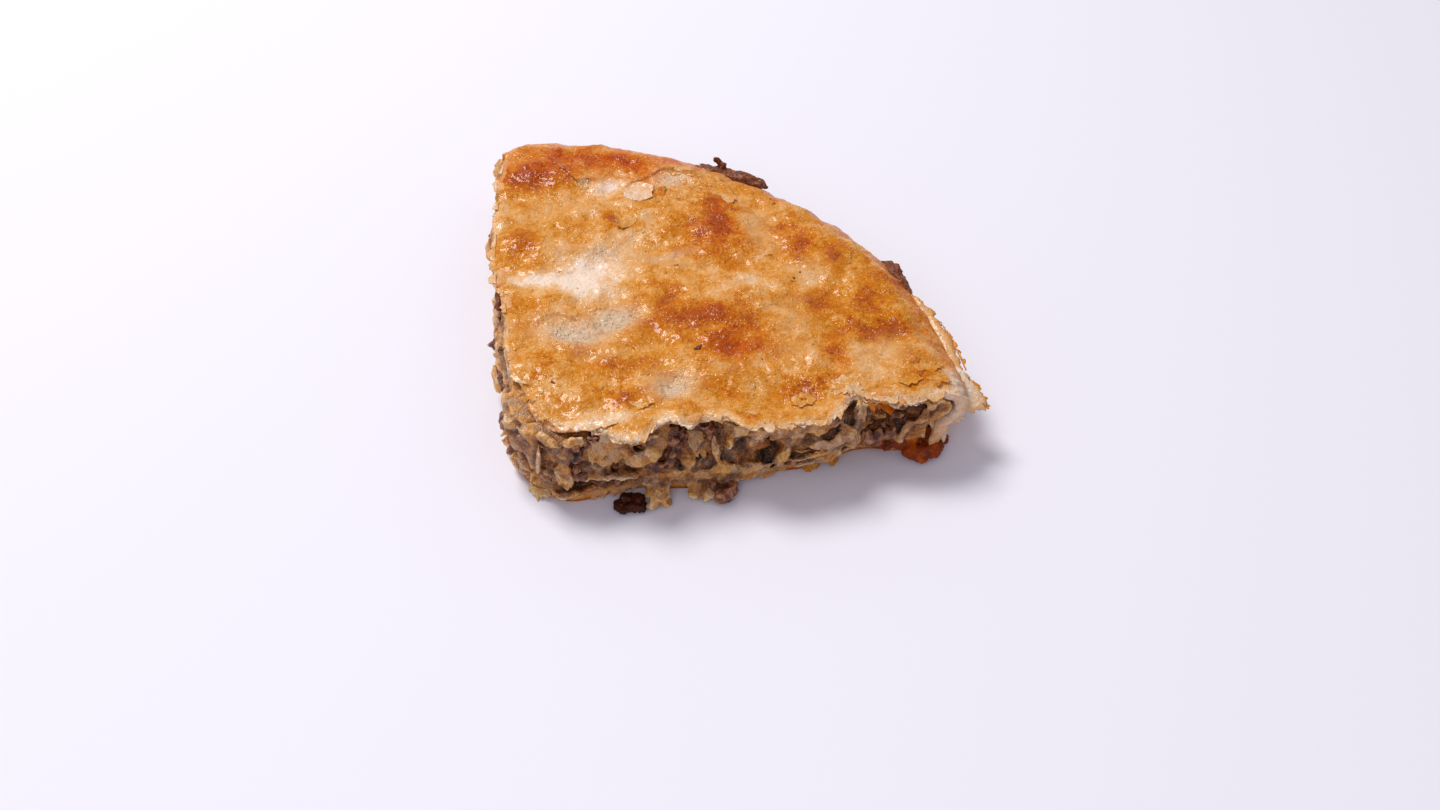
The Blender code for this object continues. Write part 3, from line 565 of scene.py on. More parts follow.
def line_gap(x, y, line):
    """Distance of each point to a broken line, positive on its left."""
    best = np.full(x.shape, 1e9)
    side = np.ones(x.shape)
    for (x0, y0), (x1, y1) in zip(line, line[1:]):
        dx, dy = x1 - x0, y1 - y0
        share = np.clip(((x - x0) * dx + (y - y0) * dy) / (dx * dx + dy * dy), 0, 1)
        gap = np.hypot(x - x0 - share * dx, y - y0 - share * dy)
        closer = gap < best
        side = np.where(closer, np.sign(dx * (y - y0) - dy * (x - x0)), side)
        best = np.where(closer, gap, best)
    return best * side


def tear_relief(x, y, points):
    """The lips of the tears: their height, the gap to the nearest tear and how dark its painted shade is.
    """
    wander_x = 0.8 * grain(points, 4.0, 21.0) + 0.4 * grain(points, 1.5, 22.0)
    wander_y = 0.8 * grain(points, 4.0, 23.0) + 0.4 * grain(points, 1.5, 24.0)
    total, dark = np.zeros(x.shape), np.zeros(x.shape)
    nearest = np.full(x.shape, 9.0)
    for line, height, width, darkness in TEARS:
        gap = line_gap(x + wander_x, y + wander_y, line)
        near = np.abs(gap) < 4 * width
        total += height * np.exp(-np.maximum(gap, 0) / width) * rise(gap, -0.25, 0.25) * near
        closer = np.abs(gap) < np.abs(nearest)
        nearest = np.where(closer, gap, nearest)
        dark = np.where(closer, darkness, dark)
    return total, nearest, dark


def roughen_crust(crust):
    """Fine relief of the baked leaf, and what its material reads: browning, tint and gloss."""
    spots = plan_of(crust)
    x, y, z = spots.T
    outside = np.hypot(x - TIN_MIDDLE[0], y - TIN_MIDDLE[1]) - FLAT_RADIUS
    outer = z > crust_height(x, y) - 0.45 - 0.8 * rise(outside, -6.0, 0.0)
    on_top = rise(z, 24.0, 29.0) * outer
    lips, gap, dark = tear_relief(x, y, spots)
    glassy = np.clip(patches(x, y, GLASSY), 0, 1) * on_top
    wrinkled = np.clip(patches(x, y, WRINKLED), 0, 1)
    swell = 1.0 * grain(spots, 13.0, 9.0) + 0.8 * grain(spots, 7.0, 1.0) + 0.42 * grain(spots, 3.6, 2.0)
    crease = np.abs(grain(spots * (1.0, 1.4, 1.0), 4.4, 3.0)) + 0.6 * np.abs(grain(spots, 2.2, 8.0))
    pimple = (0.16 + 0.10 * wrinkled) * grain(spots, 1.6, 4.0)
    pleats = 0.4 * grain(spots * (1.0, 1.0, 0.25), 6.0, 6.0) * rise(outside, 2.0, 14.0)
    relief = swell + (0.2 + 0.9 * wrinkled) * crease + pimple + pleats
    creased = 0.9 * np.abs(grain(spots, 2.6, 28.0)) + 0.4 * grain(spots, 1.2, 29.0)
    relief += on_top * (lips - 0.25 * dark * np.exp(-((gap / 0.5) ** 2)) + 1.3 * glassy * (creased - 1.0))
    # The cut end of the tin side, at the right corner, is fluted.
    cut_wall = np.exp(-((x - 152.0) ** 2 / 90.0 + (y - 2.0) ** 2 / 60.0)) * (1 - on_top)
    fluted = 1.8 * grain(spots * (1.4, 1.4, 0.4), 2.6, 31.0) + 0.7 * np.abs(grain(spots, 1.6, 32.0))
    relief += cut_wall * fluted
    move_out(crust, np.where(z < 0.3, 0.0, relief - 0.2))
    hold_above(crust, CLEAR)

    warp_x, warp_y = (
        2.8 * grain(spots, 11.0, coarse) + 1.5 * grain(spots, 4.0, middling) + 0.8 * grain(spots, 1.8, fine)
        for coarse, middling, fine in ((11.0, 12.0, 25.0), (13.0, 14.0, 26.0))
    )
    place = (x + warp_x, y + warp_y)
    brown = GOLDEN + BROWN_SHARE * patches(*place, BROWNING)
    bent = spots + 2.0 * np.stack([warp_y, -warp_x, 0 * z], axis=1)
    crinkle = np.exp(-((grain(bent, 9.0, 27.0) / 0.045) ** 2))
    mottle = 0.26 * grain(bent, 7.0, 15.0) + 0.10 * grain(spots, 2.8, 16.0) + 0.14 * grain(spots, 1.3, 17.0)
    mottle -= 0.05 * crinkle
    edge_front = np.maximum(0, 1 - (y + reading(FRONT_TEAR, x) - FRONT_CUT) / EDGE_PALE_WIDTH)
    edge_left = np.maximum(0, 1 - (x + reading(LEFT_TEAR, y) - LEFT_CUT) / (EDGE_PALE_WIDTH * 0.5))
    pale_edge = EDGE_PALE * np.clip(edge_front, 0, 1) + 0.4 * EDGE_PALE * np.clip(edge_left, 0, 1)
    side_brown = 0.66 + 0.18 * grain(spots, 16.0, 18.0) + 0.10 * (1 - rise(z, 2.0, 12.0))
    brown = brown * on_top + side_brown * (1 - on_top)
    brown += mottle - pale_edge * on_top
    brown -= 0.6 * cut_wall
    inside = np.logical_and.reduce([z > BASE - 0.5, ~outer, outside < 4.0])
    broken = np.clip(0.55 + 1.5 * grain(spots, 4.0, 30.0), 0, 1)
    blistered = np.clip(0.5 + 1.6 * grain(spots, 10.0, 19.0) + 0.7 * (brown - 0.45) + wrinkled, 0, 1)
    # Along each tear a dark line is painted as the shade in the crack.
    paint(
        crust, browning=np.where(inside, 0.42 + mottle, brown),
        ruddy=patches(*place, RUDDY) + 0.5 * (1 - on_top), glassy=np.maximum(glassy, 0.5 * cut_wall),
        wrinkled=np.maximum(glassy, 0.7 * wrinkled * on_top),
        thin=(patches(*place, THIN) + 0.3 * mottle) * on_top, tear_dark=dark * broken * on_top,
        blistered=blistered * on_top * (1 - glassy) * (outside < 6.0),
    )
    paint(crust, -NO_TEAR, NO_TEAR, tear_gap=np.where(on_top > 0.3, gap, NO_TEAR))


# ---------------------------------------------------------------- the filling

# Seeds of the random draws.
DOUGH_SEED, MEAT_SEED, FRINGE_SEED, SHRED_SEED, BUBBLE_SEED = 12, 5, 23, 31, 4

# A cut face: the spacing of its points, and the thickness of the slab behind it. Then the fineness
# of each skin, the finish of the balls that make lumps and crumbs, and where each face starts and ends.
FACE_STEP = 0.9
SLAB = 10.0
DOUGH_VOXEL = 0.66
MEAT_VOXEL = 0.62
LUMP_STEPS, CRUMB_STEPS = 3, 2
FACE_ENDS = {"front": (-6.0, 153.0), "left": (-1.0, 172.0)}
# How many small lumps and stray crumbs each cut has besides the placed ones.
SMALL_LUMPS = {"front": 3, "left": 7}
STRAY_CRUMBS = {"front": 3, "left": 10}
FLOOR_HEIGHT = 3.5
MEAT_COVER = 2.6

# Pits (+) and swellings (-) of the two cut faces: along the cut, height, half length, half
# height, turn in degrees, depth.
PITS = {
    "front": (
        (54, 28, 8.5, 5.5, -12, 7.5), (63.8, 30, 2.4, 4.4, 0, 5), (82, 14.2, 3.6, 5.8, 8, 9),
        (74, 15.5, 3.6, 4, 0, 4), (131, 23, 11, 8, 0, 6.5), (16.5, 7.6, 6.4, 3, 0, 6.5),
        (113, 29.5, 4, 4.5, 0, 5.5), (26, 15.5, 1.7, 3.4, 20, 3.4), (34.2, 14.8, 2.4, 2.6, 0, 4.5),
        (58.6, 14.4, 1.6, 1.6, 0, 5), (19.5, 27, 2, 4, 20, 2.5), (40, 6, 9, 5, 0, -3),
        (68, 9, 7, 8, 0, -2.4), (95, 14, 12, 5, 0, -1.6), (39.5, 2.5, 4, 2, 0, 5),
    ),
    "left": (
        (150, 20, 14, 7, 0, 4), (118, 14, 8, 6, 0, 4.5), (88, 23, 10, 5, 0, 5), (38, 12, 7, 5, 0, 4),
        (100, 8, 14, 5, 0, -2.5), (62, 12, 12, 8, 0, -3), (20, 20, 10, 7, 0, -2),
        (135, 8, 12, 5, 0, -1.5), (70, 25, 5, 3, 0, 3), (130, 24, 6, 3, 0, 3),
    ),
}

# Lumps of dough on the faces: cut, along, height, half length, half height, how far out, turn.
DOUGH_LUMPS = (
    ("front", 8.2, 14.2, 4.8, 6.2, 4, 6), ("front", 2, 22, 4, 5, 2, 0),
    ("front", 1, 29.5, 6.5, 2.6, 0.8, -18), ("front", 13, 29, 4.5, 2.6, 0.6, 12),
    ("front", 24, 19.5, 6.5, 2.3, 2.4, -8), ("front", 30.5, 22, 4, 3.4, 2.6, 20),
    ("front", 21, 14.5, 4.6, 3.2, 2, 0), ("front", 31, 10.6, 6.5, 1.9, 2.6, -10),
    ("front", 26, 30, 4.6, 3.4, 2.6, 10), ("front", 53.6, 13.8, 3, 3.6, 3, 20),
    ("front", 46, 9, 9, 3.4, 2.4, 4), ("front", 57, 7.4, 8, 3.6, 2.6, 0),
    ("front", 63, 19, 1.9, 6.4, 3.2, 8), ("front", 68.2, 22.6, 1.5, 3.2, 2.6, 0),
    ("front", 66, 9, 6, 4.6, 3, 0), ("front", 75, 7, 8, 3, 2.2, 6), ("front", 77, 20.5, 2.6, 3, 2.4, 0),
    ("front", 88, 11, 2.6, 6, 2.8, -22), ("front", 72.5, 27, 4, 3, 3.4, 0),
    ("front", 79, 25.4, 4.6, 3.6, 4.2, 8), ("front", 79, 14, 5.4, 4.4, 3, 10),
    ("front", 86, 24.6, 4, 4.4, 4.4, 0), ("front", 93, 23.4, 4.6, 3.8, 4, -6),
    ("front", 100, 24, 4.6, 4, 4.2, 0), ("front", 106, 26, 3.6, 3, 3, 12),
    ("front", 112, 18, 4.4, 6, 1.6, 14), ("front", 116.5, 24, 2.6, 6, 1.2, 10),
    ("front", 124, 21.5, 5, 2, 1.4, -14), ("front", 104, 11, 6, 2.4, 1.8, 10),
    ("front", 97, 7.6, 7, 2, 1.8, 10), ("left", 4, 27.5, 4, 3, 2.4, 0),
    ("left", 14, 26.5, 5, 3.4, 2.6, 0), ("left", 24, 27, 4.6, 3, 2.4, 10),
    ("left", 31, 22, 4, 4, 2.4, 0), ("left", 9, 20, 4.6, 4, 1.6, -10), ("left", 19, 16, 6, 3.4, 2, 8),
    ("left", 8, 9, 6, 3.2, 0.6, 0), ("left", 29, 9, 5.4, 3.6, 1.6, 0), ("left", 47, 18, 6, 4, 2.4, 0),
    ("left", 56, 9, 7, 3.6, 3, 6), ("left", 64, 20, 5, 3.4, 2.4, 0), ("left", 76, 12, 7, 4, 3, -6),
)

# Soft leaves of dough seen edge on: cut, three or more places (along, height, out), half height,
# half thickness.
DOUGH_FOLDS = (
    ("front", ((30.5, 17.5, 1.4), (38, 22, 3.4), (47.5, 29, 1.8)), 3.8, 2.2),
    ("front", ((33, 26.5, 1), (39, 28.5, 2), (45, 31.5, 1)), 1.8, 1.4),
    ("front", ((97, 15.5, 1.2), (108, 18, 2.6), (121, 20.5, 0.8)), 2.8, 1.8),
    ("front", ((83, 5, 1.4), (100, 7.6, 2.4), (120, 12, 1.6)), 1, 2),
    ("front", ((86, 8.6, 1.4), (103, 12.6, 2.2), (119, 15.6, 0.8)), 1, 1.8),
    ("front", ((0, 5.4, 1), (10, 4.4, 2.4), (24, 5, 1.6)), 1.1, 2),
    ("front", ((15, 12, 1.8), (24, 12.8, 3), (35, 9.6, 2.2)), 1.3, 2),
    ("front", ((59, 4.6, 1.6), (72, 4.6, 2.4), (92, 5.6, 1.6)), 1, 2.2),
    ("front", ((126, 26, 0.6), (134, 27.5, 1.4), (141, 29, 1)), 2, 1.4),
    ("front", ((138, 8, 0.6), (141, 18, 2.2), (142.5, 29, 1.4)), 3, 1.6),
    ("front", ((-5, 12, 1.6), (-4, 19, 2.4), (-3, 27, 2)), 1.6, 1.6),
    ("left", ((4, 5, 0.2), (22, 4.6, 1.8), (44, 5.6, 2)), 1.2, 2),
    ("left", ((34, 27, 1), (48, 25, 2.2), (64, 27, 1)), 1.8, 1.8),
    ("left", ((70, 18, 1.4), (88, 14, 2.6), (108, 17, 1.6)), 2, 2),
    ("left", ((96, 25, 1), (112, 23, 2.2), (128, 27, 1)), 1.8, 1.6),
    ("left", ((112, 9, 1.6), (130, 12, 2.6), (150, 8, 1.6)), 2, 2),
    ("left", ((138, 24, 1), (152, 21, 2.2), (166, 24, 1.2)), 1.8, 1.6),
)

# Crumbs of minced meat in clusters: cut, along, height, half length, half height, how many,
# size of the largest, how far out.
MEAT_CLUSTERS = (
    ("front", 1, 28, 3, 2, 3, 1.6, 1.8), ("front", -1, 16, 1.6, 5, 3, 1.3, 1.6),
    ("front", 12.6, 27, 2, 1.6, 3, 2.2, 1), ("front", 12.4, 23, 3, 2, 5, 1.9, 1.6),
    ("front", 13.6, 16.5, 1.8, 4.6, 6, 1.7, 1.4), ("front", 17, 29.5, 2.4, 1.6, 3, 2, 1.4),
    ("front", 25.2, 14.6, 0.9, 2, 3, 1.6, 0.8), ("front", 27, 7.4, 7, 2, 9, 2.3, 2.6),
    ("front", 15, 8, 5, 1.6, 3, 1.8, 0.4), ("front", 38, 15.6, 2.6, 1.6, 4, 2, 2.6),
    ("front", 44, 14.4, 4, 1.6, 7, 1.9, 3), ("front", 46.5, 21, 2, 2.6, 5, 1.9, 1.8),
    ("front", 53, 24, 6, 4, 16, 2.5, 1.4), ("front", 58, 29, 4.4, 2, 8, 2.4, 0.4),
    ("front", 60.5, 26, 2, 3, 4, 2.2, 1.2), ("front", 82, 15.5, 1.8, 3.4, 6, 2, -0.2),
    ("front", 90, 6.4, 8, 0.9, 5, 1.2, 2.2), ("front", 106.6, 28.4, 1.6, 0.9, 2, 1.7, 3.6),
    ("front", 122.6, 16, 2.6, 2.4, 6, 2.7, 2.6), ("front", 130, 14, 5, 2.2, 8, 2.1, 1.6),
    ("front", 136, 22, 2.6, 5, 6, 2, 0.6), ("front", 118, 30, 2, 1.2, 2, 1.6, 0.6),
    ("left", 5, 23, 5, 2.6, 5, 1.8, 0.8), ("left", 18, 24, 6, 3.4, 6, 1.9, 0.8),
    ("left", 12, 13, 7, 3.6, 5, 2, 0.4), ("left", 34, 15, 6, 4, 6, 2, 0.8),
    ("left", 50, 13, 7, 4, 7, 2, 1.2), ("left", 70, 20, 7, 5, 7, 2.1, 1),
    ("left", 90, 18, 8, 5, 8, 2.1, 0.8), ("left", 112, 14, 8, 5, 8, 2.1, 1),
    ("left", 134, 18, 8, 5, 8, 2.2, 1), ("left", 154, 15, 7, 5, 7, 2.1, 1),
)

# What hangs out of the foot of the front cut: middle, half sizes, turn.
FOOT_DOUGH = (
    ((42, -3, 6.5), (6.5, 4, 3.4), 0), ((41.5, -7.6, 4), (4.6, 4.2, 2.8), 10),
    ((38.6, -11.2, 2), (2.4, 2.2, 1.5), 0), ((44, -10.2, 1.9), (2.4, 2.6, 1.4), 30),
    ((57, -4, 4.4), (6, 3.6, 2.8), 0), ((54.6, -8, 2.2), (2.6, 2.8, 1.6), -20),
    ((59.4, -9, 2.6), (3, 3.2, 1.9), 10), ((65, -3.6, 5), (6, 3.4, 3), 0),
)
FOOT_MEAT = (
    ((65.4, -10.6, 3), (3.8, 3.4, 2.6), 0), ((68, -9, 3.2), (2.8, 2.8, 2.5), 40),
    ((63.6, -12.2, 2), (2.4, 2, 1.8), 0), ((69, -6, 3.6), (2.2, 2.6, 2.2), 0),
    ((61.6, -6.4, 4), (2.2, 2.4, 2), 0),
)

# Where the dough of each cut is stained by meat juice, with the same brown painted over the
# hollows as shade, coloured by fat or wet: place along the cut, height, half length, half height,
# turn in degrees, amount.
STAINS = {
    "front": (
        (0, 26, 5, 6, 0, 0.35), (12, 22, 5, 8, 0, 0.4), (22, 6.5, 13, 3, 0, 0.65),
        (41, 13.5, 8, 3.4, 0, 0.55), (53, 25, 10, 7.5, 0, 0.95), (82, 14.5, 4, 5.4, 0, 0.9),
        (131, 22, 13, 9, 0, 0.75), (74, 15, 4, 4, 0, 0.35), (66, 4, 6, 3, 0, 0.4),
        (108, 27, 5, 4, 0, 0.3), (-6, 12, 2.5, 12, 0, 0.35),
    ),
    "left": (
        (12, 21, 12, 5, 0, 0.4), (35, 15, 8, 5, 0, 0.35), (70, 20, 10, 6, 0, 0.4),
        (110, 15, 12, 6, 0, 0.45), (148, 17, 12, 6, 0, 0.5),
    ),
}
FAT_SPOTS = {
    "front": (
        (88, 21.5, 1.4, 4, 0, 1), (104.2, 28, 1.4, 2, 0, 1), (78, 19, 2, 1.4, 0, 0.7),
        (-5, 17, 2, 5, 0, 0.9), (107, 18, 3, 1.6, 0, 0.6), (72, 24, 3, 1.2, 0, 0.4),
        (118, 10, 3, 2, 0, 0.6), (1, 9, 3, 2, 0, 0.4),
    ),
    "left": (
        (2, 26, 3, 3, 0, 0.8), (26, 18, 3, 3, 0, 0.5), (60, 16, 5, 3, 0, 0.5),
    ),
}
WET_SPOTS = {
    "front": (
        (24, 20, 8, 4, 0, 0.8), (24, 12.5, 9, 2, 0, 0.5), (38, 23, 8, 4, 35, 0.35),
        (110, 18, 12, 5, 0, 0.7), (79, 12, 3, 5, 0, 0.5), (104, 23, 6, 3, 0, 0.5),
        (120, 25, 6, 5, 0, 0.5),
    ),
    "left": (
        (30, 12, 8, 5, 0, 0.6), (60, 22, 9, 4, 0, 0.5), (120, 20, 9, 4, 0, 0.5),
    ),
}


def stepped(value, sharpness=0.3):
    """Turns smooth noise into torn layers: flat levels with steep edges between them."""
    level = np.floor(value)
    return level + rise(value - level, 0.5 - sharpness / 2, 0.5 + sharpness / 2)


def cut_depth(side, along, z):
    """Depth of a cut face past the ideal plane, at places along the cut and heights."""
    seed = 3.0 if side == "front" else 7.0
    drift = 6.0 * np.sin(along / 19.0 + seed)
    flat = with_height(along, z - drift, seed)
    bent = flat + 2.2 * np.stack([grain(flat, 6.0, 5.0), grain(flat, 6.0, 6.0), 0 * flat[:, 0]], axis=1)
    layers = stepped(2.4 * grain(bent * (1.0, 1.9, 1.0), 11.0, 1.0) + 0.5).reshape(np.shape(along))
    scales = stepped(1.6 * grain(bent * (1.0, 1.5, 1.0), 4.4, 4.0) + 0.5).reshape(np.shape(along))
    broad = grain(flat, 14.0, 3.0).reshape(np.shape(along))
    depth = patches(along, z, PITS[side]) + 1.0 * layers + 0.3 * scales + 1.2 * broad - 0.4
    if side == "front":
        depth -= (base_tear(along) - 0.2) * (1 - rise(z, 3.0, 12.0))
    return depth


def on_cut(side, along, z, out):
    """Plan points at places on a cut face, a distance out of its relief."""
    along, z = np.asarray(along, float), np.asarray(z, float)
    across = CUT_AT[side] + (cut_depth(side, along, z) - out)
    pair = (along, across) if side == "front" else (across, along)
    return np.stack([*pair, np.broadcast_to(z, along.shape)], axis=-1)


def face_slab(surface, side):
    """The rough slab of dough behind one cut."""
    start, end = FACE_ENDS[side]
    along = np.arange(start, end, FACE_STEP)
    lids = []
    for inward in (0.0, 4.0, 8.0, 12.0):
        across = np.full(along.shape, CUT_AT[side] + inward)
        lids.append(top_height(along, across) if side == "front" else top_height(across, along))
    shoulder = np.clip((along - (end - 10.0)) / 10.0, 0, 1)
    lid = np.min(lids, axis=0) - CRUST - 0.4 - 9.0 * shoulder**2
    share = np.linspace(0, 1, int((TOP_HEIGHT - FLOOR_HEIGHT) / FACE_STEP))[:, None]
    z = FLOOR_HEIGHT + (lid - FLOOR_HEIGHT) * share
    front = on_cut(side, np.broadcast_to(along, z.shape), z, 0.0)
    back = front.copy()
    back[..., ACROSS[side]] = CUT_AT[side] + SLAB
    surface.slab(front, back)


def ball(steps):
    """The points and faces of a unit ball."""
    work = bmesh.new()
    bmesh.ops.create_icosphere(work, subdivisions=steps, radius=1.0)
    points = np.array([v.co[:] for v in work.verts])
    faces = [[v.index for v in face.verts] for face in work.faces]
    work.free()
    return points, faces


def turned(points, turn, tilt=0.0):
    """Points turned about the upright, after a tilt about their own width, in degrees."""
    rotation = Matrix.Rotation(math.radians(turn), 3, "Z") @ Matrix.Rotation(math.radians(tilt), 3, "Y")
    return points @ np.array(rotation).T


def add_lump(surface, template, middle, half, turn=0.0, tilt=0.0, rough=0.28, seed=0.0):
    """A rough rounded lump about a plan point."""
    points, faces = template
    swelling = 1 + rough * grain(points, 0.62, seed) + 0.5 * rough * grain(points, 0.27, seed + 3.0)
    surface.shape(turned(points * swelling[:, None] * half, turn, tilt) + middle, faces)


def add_fold(surface, side, path, half_height, half_depth, seed):
    """A soft leaf of dough seen edge on: a flattened tube along a curve on a cut face."""
    steps, around = 44, 18
    share = np.linspace(0, 1, steps + 1)
    curve = bent_line(path, share)
    wave = grain(with_height(share * 9.0, np.full(share.shape, seed * 3.0)), 1.0, seed)
    fat = (np.sin(math.pi * np.clip(share, 0.01, 0.99)) ** 0.35) * (1 + 0.25 * wave)
    slope = np.arctan2(np.gradient(curve[:, 1]), np.gradient(curve[:, 0]))
    angle = np.linspace(0, 2 * math.pi, around + 1)
    up = half_height * fat[:, None] * np.cos(angle)[None, :]
    out = half_depth * fat[:, None] * np.sin(angle)[None, :]
    along = curve[:, :1] - up * np.sin(slope)[:, None]
    z = curve[:, 1:2] + 0.8 * wave[:, None] + up * np.cos(slope)[:, None]
    # The relief under a fold is taken at its own line, so that the fold stays whole.
    line = cut_depth(side, curve[:, 0], curve[:, 1])[:, None]
    across = CUT_AT[side] + line - (curve[:, 2:] + out)
    pair = (along, across) if side == "front" else (across, along)
    grid = np.stack([*pair, np.clip(z, 4.0, 30.0)], axis=2)
    middles = [grid[[k]].mean(axis=1, keepdims=True) for k in (0, -1)]
    first, last = (np.broadcast_to(middle, (1, around + 1, 3)) for middle in middles)
    surface.patch(np.concatenate([first, grid, last]))


def bent_line(line, share):
    """Points at shares of the way along a smooth curve through three points."""
    start, middle, end = (np.array(p, float) for p in line)
    peak = middle * 2 - (start + end) / 2
    s = np.asarray(share)[:, None]
    return start * (1 - s) ** 2 + peak * 2 * s * (1 - s) + end * s * s


def melted(surface, name, voxel):
    """The gathered shapes run together into one skin."""
    raw = surface.raw(name)
    remesh = raw.modifiers.new("skin", "REMESH")
    remesh.mode = "VOXEL"
    remesh.voxel_size = voxel * MM
    remesh.use_smooth_shade = True
    return flattened(raw, name)


def flattened(source, name):
    """A plain mesh object in place of one with modifiers."""
    graph = bpy.context.evaluated_depsgraph_get()
    plain = shown(name, bpy.data.meshes.new_from_object(source.evaluated_get(graph)))
    source.modifiers.clear()
    bpy.data.objects.remove(source)
    plain.name = name
    return plain


def crests(piece, rounds):
    """How far each point stands out of its smoothed surroundings, in millimetres."""
    mesh = piece.data
    count = len(mesh.vertices)
    points = plan_of(piece)
    normals = np.zeros(count * 3)
    mesh.vertices.foreach_get("normal", normals)
    edges = np.zeros(len(mesh.edges) * 2, dtype=np.int64)
    mesh.edges.foreach_get("vertices", edges)
    edges = edges.reshape(-1, 2)
    links = np.maximum(np.bincount(edges.ravel(), minlength=count), 1)
    smooth = points.copy()
    for _ in range(rounds):
        total = np.stack([
            np.bincount(edges[:, 0], smooth[edges[:, 1], k], count)
            + np.bincount(edges[:, 1], smooth[edges[:, 0], k], count)
            for k in range(3)
        ], axis=1)
        smooth = 0.4 * smooth + 0.6 * total / links[:, None]
    return ((points - smooth) * normals.reshape(-1, 3)).sum(axis=1)


def on_faces(points, tables):
    """Patches of the nearer cut's table, read at points near the cuts."""
    x, y, _ = points.T
    front = (y - FRONT_CUT) < (x - LEFT_CUT)
    along = np.where(front, x, y)
    values = np.zeros(len(points))
    for side, chosen in (("front", front), ("left", ~front)):
        values[chosen] = patches(along[chosen], points[chosen, 2], tables[side])
    return values


def make_dough(material):
    """The soft dough of the filling: a torn skin at both cuts, and the plain body behind it."""
    draw = random.Random(DOUGH_SEED)
    surface = Surface()
    for side in ("front", "left"):
        face_slab(surface, side)
    template = ball(LUMP_STEPS)
    for k, (side, along, z, length, height, out, turn) in enumerate(DOUGH_LUMPS):
        middle = on_cut(side, along, z, out * 0.25)
        half = np.array([length, 1.8 + 0.3 * out, height])
        add_lump(surface, template, middle, half, SPIN[side], -turn, 0.4, k * 1.7)
    for side, count in SMALL_LUMPS.items():
        start, end = FACE_ENDS[side]
        for k in range(count):
            along = start + 6.0 + (end - start - 16.0) * (k + draw.random()) / count
            z = draw.uniform(5.5, 26.0)
            # The hollow of minced meat stays open.
            if side == "front" and abs(along - 53.0) < 9.0 and z > 18.0:
                continue
            size = draw.uniform(1.4, 3.2)
            half = np.array([size * draw.uniform(0.9, 2.0), size * 0.7, size * draw.uniform(0.4, 0.9)])
            middle = on_cut(side, along, z, draw.uniform(-0.6, 1.0))
            add_lump(surface, template, middle, half, SPIN[side], draw.uniform(-60, 60), 0.4, k * 2.3)
    for k, (side, path, height, depth) in enumerate(DOUGH_FOLDS):
        add_fold(surface, side, path, height, depth, k * 1.3)
    for k, (middle, half, turn) in enumerate(FOOT_DOUGH):
        add_lump(surface, template, np.array(middle), np.array(half), turn, rough=0.4, seed=k * 5.1)
    dough = melted(surface, "filling_dough", DOUGH_VOXEL)
    spots = plan_of(dough)
    torn_grain = 0.32 * grain(spots, 3.4, 1.0) + 0.24 * np.abs(grain(spots * (1.0, 1.0, 1.6), 2.0, 2.0))
    pores = 0.26 * grain(spots, 1.1, 3.0)
    # Only what lies within 8 mm of a cut is roughened.
    behind = np.minimum(spots[:, 0] - LEFT_CUT, spots[:, 1] - FRONT_CUT)
    in_front = np.clip(1 - (behind - 8.0) / 1.5, 0, 1)
    move_out(dough, (torn_grain + pores - 0.3) * in_front)
    hold_above(dough, CLEAR)
    spots = plan_of(dough)
    # Crests are painted lighter and hollows darker, as painted shade.
    stand = 0.3 * np.clip(crests(dough, 10) / 0.5, -1, 1) + 0.8 * np.clip(crests(dough, 90) / 2.2, -1, 1)
    mottle = 0.12 * grain(spots, 4.0, 5.0) + 0.10 * grain(spots, 1.6, 6.0)
    warp = spots + 1.6 * np.stack([grain(spots, 6.0, s) for s in (7.0, 8.0, 9.0)], axis=1)
    # Juice stains, with brown also painted over the hollows as shade.
    paint(
        dough, stand_out=0.48 + 0.5 * stand + mottle, stain=on_faces(warp, STAINS) + 0.16 + mottle,
        fat=on_faces(warp, FAT_SPOTS) + 0.5 * mottle, wet=on_faces(warp, WET_SPOTS) + mottle,
    )
    return dress(dough, material)


def hold_above(piece, low):
    """Keeps every point of a piece above a height in millimetres."""
    for vertex in piece.data.vertices:
        vertex.co.z = max(vertex.co.z, low * MM)


def hold_under(piece, gap):
    """Keeps every point of a piece a gap under the top of the crust."""
    spots = plan_of(piece)
    for vertex, z in zip(piece.data.vertices, crust_height(spots[:, 0], spots[:, 1]) - gap):
        vertex.co.z = min(vertex.co.z, z * MM)


# How far the plain body of the filling keeps from the two cuts, from the tin and from the top, and
# the height where its side bends.
CORE_INSET = 7.0
CORE_BACK = 15.3
CORE_COVER, CORE_WAIST = 4.4, 22.0
CORE_STEPS = 36


def make_core(material):
    """The plain body of the filling behind its torn faces, under the crust."""
    tip = (LEFT_CUT + CORE_INSET, FRONT_CUT + CORE_INSET)
    surface = Surface()
    radius = TIN_RADIUS - CORE_BACK
    lid = height_grid(CORE_STEPS, radius - 4.0, lambda x, y: top_height(x, y) - CORE_COVER, tip=tip)
    floor = height_grid(
        CORE_STEPS, radius, lambda x, y: np.full(np.shape(x), FLOOR_HEIGHT + 0.2), tip=tip
    )
    top, bottom = surface.patch(lid), surface.patch(floor)
    turns = np.arctan2(rim(lid)[:, 1] - tip[1], rim(lid)[:, 0] - tip[0])
    waist = surface.patch(np.stack([rim(lid), ring(turns, radius, CORE_WAIST, tip), rim(floor)]))
    surface.sew(top[0], bottom[0])
    surface.sew(top[:, 0], bottom[:, 0])
    surface.sew(waist[:, 0], [top[0][-1], bottom[0][-1]])
    surface.sew(waist[:, -1], [top[-1][0], bottom[-1][0]])
    core = surface.build("filling_body", material)
    paint(core, stand_out=0.5, stain=0.4, fat=0.0, wet=0.2)
    return core


